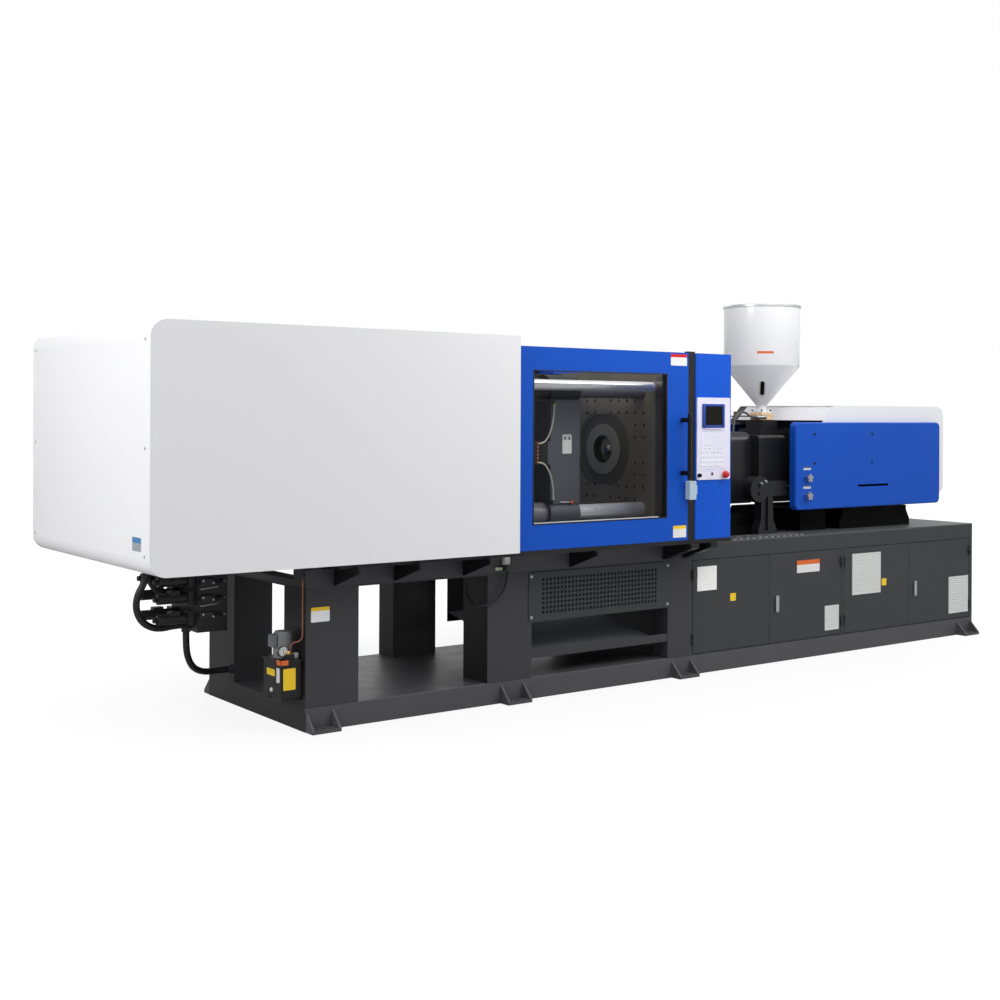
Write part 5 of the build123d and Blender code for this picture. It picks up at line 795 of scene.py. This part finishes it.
# Thin plates on the front gate, cover, leg, moving platen, side guard and door 2
KNOB_GREY = colour(206, 212, 222)
KNOB_BLUE = colour(70, 84, 130)
for name, body, slot, facing, at, low, high, *look in (
    ("gate_plate_top", "front_gate", "front_gate", "-Y", GATE_FACE_Y,
     (-0.030, 1.725), (0.088, 1.787), PLATE_WHITE, RED, 0.28),
    ("gate_plate_low", "front_gate", "front_gate", "-Y", GATE_FACE_Y,
     (-0.008, 0.801), (0.088, 0.865), PLATE_WHITE, YELLOW, 0.28),
    ("cover_end_plate", "machine", "clamp_cover", "-X", cover_end_x + 0.0004,
     (-0.660, 0.882), (-0.564, 0.940), colour(150, 158, 166), colour(60, 120, 170), 0.4),
    ("leg_plate", "machine", "clamp_frame", "-Y", FRAME_FACE_Y,
     (-2.084, 0.500), (-1.987, 0.568), colour(252, 252, 254), YELLOW, 0.25),
    ("platen_plate", "moving_platen", "moving_platen", "-Y", PLATEN_FACE_Y,
     (-0.514, 1.251), (-0.451, 1.353), PLATE_WHITE, colour(200, 202, 204), 0.3),
    ("knob_plate_upper", "carriage", "side_guards", "-Y", GUARD_FACE_Y,
     (1.335, 1.128), (1.403, 1.150), KNOB_GREY, KNOB_BLUE, 0.45, 0.0008, 0.002),
    ("knob_plate_lower", "carriage", "side_guards", "-Y", GUARD_FACE_Y,
     (1.335, 1.014), (1.403, 1.036), KNOB_GREY, KNOB_BLUE, 0.45, 0.0008, 0.002),
    ("door_2_plate", "door_2", "door_2", "-Y", FRAME_FACE_Y,
     (1.202, 0.515), (1.405, 0.589), PLATE_WHITE, ORANGE, 0.36),
):
    sign(name, body, slot, facing, at, low, high, *look)

# Screen, keypad and its white keys on the operator's panel
face_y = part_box("control_panel")[0][1] + 0.005
screen_blue = powder_coat("screen frame blue", colour(30, 66, 150), 0.35, 0.2, 0.05)
screen_glass = moulded("dark screen", colour(22, 21, 19), 0.3, 0.02, gloss=0.1)
screen = Piece("panel_screen", "machine", "control_panel", screen_blue, screen_glass)
for x0, z0, x1, z1 in (
    (0.199, 1.391, 0.219, 1.521), (0.350, 1.391, 0.366, 1.521),
    (0.219, 1.508, 0.350, 1.521), (0.219, 1.391, 0.350, 1.405),
):
    screen.plate("-Y", face_y, (x0, z0), (x1, z1), 0.0078, 0.0, 0, 0.0012)
screen.plate("-Y", face_y, (0.2175, 1.4035), (0.3515, 1.5095), 0.0056, 0.0, 1)
screen.done()

key_white = moulded("white key", colour(246, 246, 248), 0.35, 0.1)
key_shadow_and_trim_grey = moulded("key shadow and trim grey", colour(150, 148, 166), 0.45, 0.1)
foil = Piece("keypad_foil", "machine", "control_panel", panel_sheet, key_white, key_shadow_and_trim_grey)
foil.plate("-Y", face_y, (0.188, 1.166), (0.392, 1.379), 0.0019, 0.004, 0)
foil_y = face_y - 0.0018
foil.plate("-Y", foil_y, (0.195, 1.3725), (0.375, 1.3745), 0.0005, 0.0, 2)

# Each key's middle in X and Z and its width in mm
KEYS = [
    (0.229, 1.341, 10), (0.300, 1.347, 8), (0.228, 1.302, 12), (0.258, 1.302, 12), (0.226, 1.283, 12),
    (0.256, 1.283, 12), (0.347, 1.284, 12), (0.316, 1.283, 8), (0.208, 1.262, 12), (0.236, 1.262, 12),
    (0.276, 1.262, 12), (0.300, 1.262, 10), (0.330, 1.262, 10),
]
for z, last_wide in ((1.236, 12), (1.210, 14), (1.186, 14)):
    KEYS += [(x, z, wide) for x, wide in ((0.201, 12), (0.219, 12), (0.253, 14), (0.272, 12), (0.304, 12),
                                          (0.326, 12), (0.354, last_wide))]
for x, z, wide in KEYS:
    half = wide / 2000
    # Painted shadow: a grey strip standing out below and beside each key
    foil.plate("-Y", foil_y, (x - half - 0.001, z - 0.0075), (x + half + 0.001, z - 0.0035), 0.0004, 0.0, 2)
    foil.plate("-Y", foil_y, (x - half, z - 0.0055), (x + half, z + 0.0065), 0.0012, 0.0025, 1)
foil.done()
port = Piece("panel_port", "machine", "control_panel", key_shadow_and_trim_grey, screen_glass)
PORT_SEAT = (0.276, face_y, 1.139)
port.turned([(0.0095, 0), (0.0095, 0.0022), (0.0075, 0.0032), (0.0055, 0.0032)], PORT_SEAT, FORWARDS, 0)
port.turned([(0.0055, 0), (0.0055, 0.0036), (0.002, 0.0038)], PORT_SEAT, FORWARDS, 1)
port.done()

# Rubber seal round the window in the front gate
rubber = moulded("black seal rubber", colour(16, 16, 17), 0.55, 0.4)
seal = Piece("window_seal", "front_gate", "front_gate", rubber)
left, low, right, high = -0.959, 0.910, -0.054, 1.680
LIP = 0.006
for x0, z0, x1, z1 in (
    (left, low, left + LIP, high), (right - LIP, low, right, high),
    (left, low, right, low + LIP), (left, high - LIP, right, high),
):
    seal.plate("-Y", -0.7195, (x0, z0), (x1, z1), 0.0025, 0.0, 0, 0.0006)
seal.done()

sill_grey = moulded("pale sill", colour(206, 208, 210), 0.4, 0.2)
strip = Piece("window_sill_strip", "front_gate", "front_gate", sill_grey)
strip.plate("-Y", -0.7197, (-0.953, 0.9165), (-0.115, 0.9215), 0.0012, 0.0, 0)
strip.done()

# Dark mat behind the perforated sheet, painted shade behind its holes
mat = Piece("grille_mat", "machine", "grille_panel", moulded("dark shade mat", colour(12, 12, 13), 0.8, 0.8))
mat_y = sheet_high[1]
mat.box((sheet_low[0] + 0.004, mat_y + 0.0005, SHEET_BOTTOM + 0.006),
        (sheet_high[0] - 0.004, mat_y + 0.0025, sheet_high[2] - 0.006))
mat.done()

# Grease distributor's copper collars
copper_collar = bright_steel("copper collar", colour(196, 112, 74), 0.3)
collars = Piece("grease_collars", "moving_platen", "moving_platen", copper_collar)
for port_index in range(6):
    collar_seat = (-0.6995, GREASE_Y, 1.206 + 0.020 * port_index)
    collars.turned([(0.0075, 0), (0.0085, 0.002), (0.0085, 0.008), (0.0065, 0.010)], collar_seat, (1, 0, 0), 0, 6)
collars.done()

# Lubricator: plates, sight strip, gauge, fittings and the motor's fins
plate_yellow = powder_coat("plate yellow", YELLOW, 0.4, 0.1, 0.05)
pale_plastic = moulded("pale plastic", colour(226, 226, 220), 0.3, 0.1)
brass = bright_steel("brass fitting", colour(196, 160, 92), 0.28)
orange_cap = moulded("orange cap", ORANGE, 0.35, 0.2)
lube = Piece("lube_fittings", "machine", "lube_pump",
             plate_yellow, pale_plastic, brass, orange_cap, zinc, screen_glass)
TANK_SIDE_X = -2.222
GAUGE = (-2.200, -0.472, 0.371)
lube.plate("-Y", -0.498, (-2.212, 0.199), (-2.150, 0.297), 0.001, 0.004, 0)
lube.plate("-X", TANK_SIDE_X, (-0.434, 0.256), (-0.356, 0.287), 0.001, 0.003, 0)
lube.plate("-X", TANK_SIDE_X, (-0.486, 0.232), (-0.458, 0.300), 0.005, 0.006, 1, 0.001)
lube.turned([(0.010, 0), (0.010, 0.004), (0.007, 0.008), (0.004, 0.009)],
            (TANK_SIDE_X, -0.407, 0.192), LEFTWARDS, 1, 20)
lube.plate("-Y", -0.504, (-2.2265, 0.3150), (-2.190, 0.3370), 0.0015, 0.0, 3)
lube.plate("-X", -2.228, (-0.5025, 0.3150), (-0.466, 0.3370), 0.0015, 0.0, 3)
lube.box((-2.141, -0.470, 0.3352), (-2.119, -0.448, 0.360), 1, 0.002)
lube.turned([(0.0225, 0), (0.0225, 0.004), (0.019, 0.005), (0.019, 0.0015)], GAUGE, FORWARDS, 4)
lube.turned([(0.0188, 0), (0.0188, 0.0022), (0.006, 0.0023)], GAUGE, FORWARDS, 1)
lube.plate("-Y", -0.4742, (-2.2012, 0.366), (-2.1988, 0.386), 0.0006, 0.0, 5)
lube.turned([(0.010, 0), (0.0115, 0.002), (0.0115, 0.011), (0.009, 0.013)], (-2.162, -0.470, 0.350), UPWARDS, 2, 6)
lube.turned([(0.009, 0), (0.010, 0.002), (0.010, 0.010), (0.006, 0.016)], (-2.178, -0.478, 0.357), UPWARDS, 2, 6)
lube.done()

fin_grey = powder_coat("fin grey", colour(140, 142, 146), 0.45, 0.3, 0.15)
fins = [(-2.166, -0.400, 0.345 + 0.0085 * step) for step in range(12)]
fin_pattern().grow("motor_fins", "machine", "lube_pump", fin_grey, fins, Radius=0.0445, Thickness=0.003)

# Square plates on two doors, and the two dark marks on the platen's plate
for name, x, z in (("door_1", 0.658, 0.413), ("door_3", 2.020, 0.407)):
    square = Piece(name + "_plate", name, name, plate_yellow)
    square.plate("-Y", FRAME_FACE_Y, (x - 0.023, z - 0.022), (x + 0.023, z + 0.022), 0.0008, 0.003)
    square.done()
marks = Piece("platen_plate_slots", "moving_platen", "moving_platen", screen_glass)
for x in (-0.496, -0.468):
    marks.plate("-Y", -0.4008, (x - 0.0045, 1.324), (x + 0.0045, 1.342), 0.0004, 0.004)
marks.done()

# Slanted end plate of the hood, between its skirts, and a dark strip beside it, painted shade in the gap
end_grey = powder_coat("hood end paint", colour(236, 236, 240), 0.36, 0.2, 0.03, gloss=0.3)
hood_end = Piece("hood_end_plate", "carriage", "hood", end_grey, dark_paint)
for y0, y1, finish in ((-0.3955, 0.336, 0), (0.3362, 0.3955, 1)):
    slant = [(x, y0, z) for x, z in ((1.5790, 1.4310), (1.6740, 1.5205), (1.6775, 1.5205), (1.5825, 1.4310))]
    hood_end.prism(slant, (0, y1 - y0, 0), finish)
hood_end.done()

# Valves on the block's front face, with bright stems and nuts
valve_black = casting("valve black", colour(38, 38, 41), 0.3, 0.3, 0.2)
valves = Piece("valve_fittings", "machine", "valve_block", valve_black, zinc)
for height in (0.676, 0.598, 0.520):
    valves.box((-2.468, -0.170, height - 0.015), (-2.392, -0.1405, height + 0.015), 0, 0.003)
    valves.bar((-2.392, -0.155, height), (-2.352, -0.155, height), 0.011, 0, 6)
    valves.bar((-2.352, -0.155, height), (-2.338, -0.155, height), 0.007, 1, 6)
    for x, lift in ((-2.455, 0.006), (-2.405, -0.006)):
        valves.turned([(0.006, 0), (0.006, 0.004), (0.003, 0.006)], (x, -0.170, height + lift), FORWARDS, 1, 6)
for height in (0.640, 0.562):
    valves.bar((-2.460, -0.147, height), (-2.372, -0.147, height + 0.008), 0.0045, 1, 10)
valves.done()

# Chute over the shelf, painted lighter as painted light, and the dark sheet behind it as painted shade
lit_chute_paint = powder_coat("chute paint painted lighter", colour(104, 105, 108), 0.45, 0.4, 0.15, gloss=0.25)
chute = Piece("chute_plate", "machine", "clamp_frame", lit_chute_paint, black_paint)
CHUTE_X, CHUTE_WIDE = -0.806, 0.914
sheet_end = [(CHUTE_X, y, z) for y, z in ((-0.46, 0.212), (0.25, 0.352), (0.25, 0.356), (-0.46, 0.216))]
chute.prism(sheet_end, (CHUTE_WIDE, 0, 0), 0)
# Painted shade: a black sheet at the back of the shelf
chute.box((CHUTE_X, 0.252, 0.300), (0.108, 0.256, 0.658), 1)
chute.done()

# Pale plug over the frame cable's gland and its tie
tie_green = moulded("pale green tie", colour(206, 216, 186), 0.4, 0.2)
plug = Piece("cable_plug", "machine", "clamp_frame", pale_plastic, tie_green)
plug.box((-1.000, -0.546, 0.700), (-0.967, -0.5202, 0.744), 0, 0.002)
plug.box((-1.045, -0.534, 0.674), (-1.004, -0.5202, 0.688), 1, 0.002)
plug.done()

# Grease fittings on the moving platen
tip_green = moulded("yellow-green tip", colour(196, 206, 96), 0.35, 0.1)
tips = Piece("grease_fittings", "moving_platen", "moving_platen", tip_green, zinc, orange_cap)
for x, z, way in ((-0.584, 0.998, 1), (-0.580, 1.524, -1)):
    tips.turned([(0.0075, 0), (0.0075, 0.011), (0.0055, 0.016)], (x, GREASE_Y, z), (0, 0, way), 0, 16)
tips.turned([(0.009, 0), (0.009, 0.012), (0.006, 0.015)], (-0.455, -0.4002, 0.991), FORWARDS, 2, 16)
tips.bar((-0.537, -0.406, 0.994), (-0.463, -0.406, 0.991), 0.0025, 1, 8)
tips.done()

# Hopper: a spun shell with a narrow neck, its sight slot, band and flange bolts
WALL = 0.003
NECK_R, NECK_TOP_Z = 0.034, 1.524
CONE_OUT, CONE_UP = 0.202, 0.248
DRUM_R = 0.240
hopper_paint = powder_coat("hopper paint", HOPPER_WHITE, 0.22, 0.12, 0.03, coat=0.3)
slot_frame = moulded("slot frame", colour(226, 226, 228), 0.35, 0.1)
hopper = Piece("hopper_shell", "carriage", "hopper", hopper_paint, slot_frame, screen_glass, orange_cap, black_zinc)
outside = [(0.030, 1.4785), (0.030, 1.516), (NECK_R, NECK_TOP_Z), (0.236, 1.772), (DRUM_R, 1.780), (DRUM_R, 2.1555)]
inside = [(radius - WALL, height) for radius, height in reversed(outside)]
hopper.turned(outside + inside, (HOPPER_X, 0, 0), UPWARDS, 0, 72, hollow=True)
hopper.plate("+Z", 1.4782, (HOPPER_X - 0.049, -0.049), (HOPPER_X + 0.049, 0.049), 0.010, 0.004, 0, 0.001)
for x in (-0.040, 0.040):
    for y in (-0.040, 0.040):
        hopper.turned([(0.0065, 0), (0.0065, 0.008), (0.004, 0.010)], (HOPPER_X + x, y, 1.488), UPWARDS, 4, 6)

# The slot lies on the cone, towards the front left
SLOT_Z = 1.634
slot_way = math.radians(225)
slope = Vector((CONE_OUT, CONE_UP)).normalized()
facing = Vector((math.cos(slot_way), math.sin(slot_way), 0))
level = Vector((-facing.y, facing.x, 0))
up_cone = facing * slope.x + Vector((0, 0, slope.y))
proud = facing * slope.y - Vector((0, 0, slope.x))
seat = Vector((HOPPER_X, 0, SLOT_Z)) + facing * (NECK_R + (SLOT_Z - NECK_TOP_Z) / CONE_UP * CONE_OUT)
SLOT_STEPS = 24
for half_w, half_h, lift, thick, finish in ((0.020, 0.062, -0.002, 0.004, 1), (0.0125, 0.0545, 0.001, 0.0015, 2)):
    outline = []
    for step in range(SLOT_STEPS):
        turn = 2 * math.pi * (step + 0.5) / SLOT_STEPS
        rise = half_h - half_w if math.sin(turn) > 0 else half_w - half_h
        across, up = half_w * math.cos(turn), half_w * math.sin(turn) + rise
        outline.append(seat + proud * lift + level * across + up_cone * up)
    hopper.prism(outline, proud * thick, finish)

# The band bends round the drum in short flat strips
BAND_Z, BAND_H, BAND_STEP_DEG = 1.848, 0.014, 3.1
for step in range(8):
    turns = [math.radians(216 + BAND_STEP_DEG * (step + side)) for side in (0, 1)]
    ring = [(DRUM_R - 0.0002, turn) for turn in turns] + [(DRUM_R + 0.0008, turn) for turn in reversed(turns)]
    corners = [(HOPPER_X + radius * math.cos(turn), radius * math.sin(turn), BAND_Z) for radius, turn in ring]
    hopper.prism(corners, (0, 0, BAND_H), 3)
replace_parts(hopper.done(), "hopper")

# Cream slab with the slide's slot, and the feeler at the cable's end
SLAB_HALF = 0.050
FEELER_Y, FEELER_Z = -0.075, 1.450
cream_paint = powder_coat("cream paint", CREAM, 0.45, 0.5, 0.12)
slab = Piece("throat_slab", "carriage", "throat_block", cream_paint, zinc)
slab_x0, slab_x1 = HOPPER_X - SLAB_HALF, HOPPER_X + SLAB_HALF
for z0, z1 in ((1.4320, 1.4506), (1.4594, 1.4778)):
    slab.box((slab_x0, -SLAB_HALF, z0), (slab_x1, SLAB_HALF, z1), 0, 0.0015)
for y in (-SLAB_HALF, 0.0466):
    slab.box((slab_x0, y, 1.4508), (slab_x1, y + 0.0034, 1.4592), 0)
slab.bar((1.326, FEELER_Y, FEELER_Z), (1.345, FEELER_Y, FEELER_Z), 0.011, 1, 6)
slab.bar((1.345, FEELER_Y, FEELER_Z), (1.412, FEELER_Y, FEELER_Z), 0.0085, 1, 20)
slab.box((1.398, -0.084, 1.436), (1.406, -0.0502, 1.464), 1, 0.001)
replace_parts(slab.done(), "throat_block")

# Pale floor, which keeps the object's shadow and turns white away from it
FLOOR_HALF = 40
floor_mesh = bpy.data.meshes.new("floor")
floor_corners = [(x * FLOOR_HALF, y * FLOOR_HALF, 0) for x, y in ((-1, -1), (1, -1), (1, 1), (-1, 1))]
floor_mesh.from_pydata(floor_corners, [], [(0, 1, 2, 3)])
floor = bpy.data.objects.new("floor", floor_mesh)
link_object(floor)
floor_shade = Shade("pale floor")
floor_shade.done((0.5, 0.5, 0.5, 1), 0.9)
white_glow = floor_shade.node("ShaderNodeEmission")
white_glow.inputs["Strength"].default_value = 1.12
away = floor_shade.vector("LENGTH", floor_shade.vector("MULTIPLY", floor_shade.place, (0.55, 1.0, 1.0)))
to_camera = floor_shade.node("ShaderNodeLightPath").outputs["Is Camera Ray"]
share = floor_shade.math("MULTIPLY", to_camera, floor_shade.ramp(away, 1.3, 3.2, 0.78, 1.0))
blend_floor = floor_shade.node("ShaderNodeMixShader", share, floor_shade.bsdf.outputs[0], white_glow.outputs[0])
floor_shade.feed(floor_shade.tree.nodes["Material Output"].inputs["Surface"], blend_floor.outputs[0])
floor_mesh.materials.append(floor_shade.material)

# Soft studio light: a plain world, white where it is seen directly or through the pane
WORLD_LEVEL = 0.36
GLOSS_LEVEL = 0.7
world = bpy.data.worlds.new("studio")
bpy.context.scene.world = world
sky = Wiring(world)
ray = sky.node("ShaderNodeLightPath").outputs
seen = sky.math("MAXIMUM", ray["Is Camera Ray"], ray["Is Transmission Ray"])
seen = sky.math("MAXIMUM", seen, sky.math("MULTIPLY", ray["Is Glossy Ray"], GLOSS_LEVEL))
sky.fill(sky.tree.nodes["Background"], Color=(1, 1, 1, 1), Strength=sky.ramp(seen, 0.0, 1.0, WORLD_LEVEL))


def soft_box(name, place, target, size, power):
    # A large rectangular lamp that faces target
    lamp_data = bpy.data.lights.new(name, "AREA")
    lamp_data.shape = "RECTANGLE"
    lamp_data.size, lamp_data.size_y = size
    lamp_data.energy = power
    lamp = bpy.data.objects.new(name, lamp_data)
    lamp.location = place
    lamp.rotation_euler = (Vector(target) - Vector(place)).to_track_quat("-Z", "Y").to_euler()
    link_object(lamp)


soft_box("key", (-6.5, -1.2, 3.2), (-2.75, 0, 1.3), (2.5, 2.0), 150)
soft_box("front fill", (1.0, -6.5, 5.6), (-0.2, 0, 1.0), (5.0, 3.0), 150)
soft_box("right", (5.5, -4.8, 5.2), (1.6, 0, 1.4), (3.0, 2.5), 150)
soft_box("top front", (0.2, -1.9, 3.0), (-0.5, -0.7, 1.7), (2.0, 1.0), 20)
soft_box("top", (0.0, -1.0, 6.5), (0.0, 0, 0.9), (7.0, 3.0), 100)
soft_box("rear fill", (0.5, 7.5, 5.0), (0.0, 0, 1.0), (5.0, 3.0), 130)
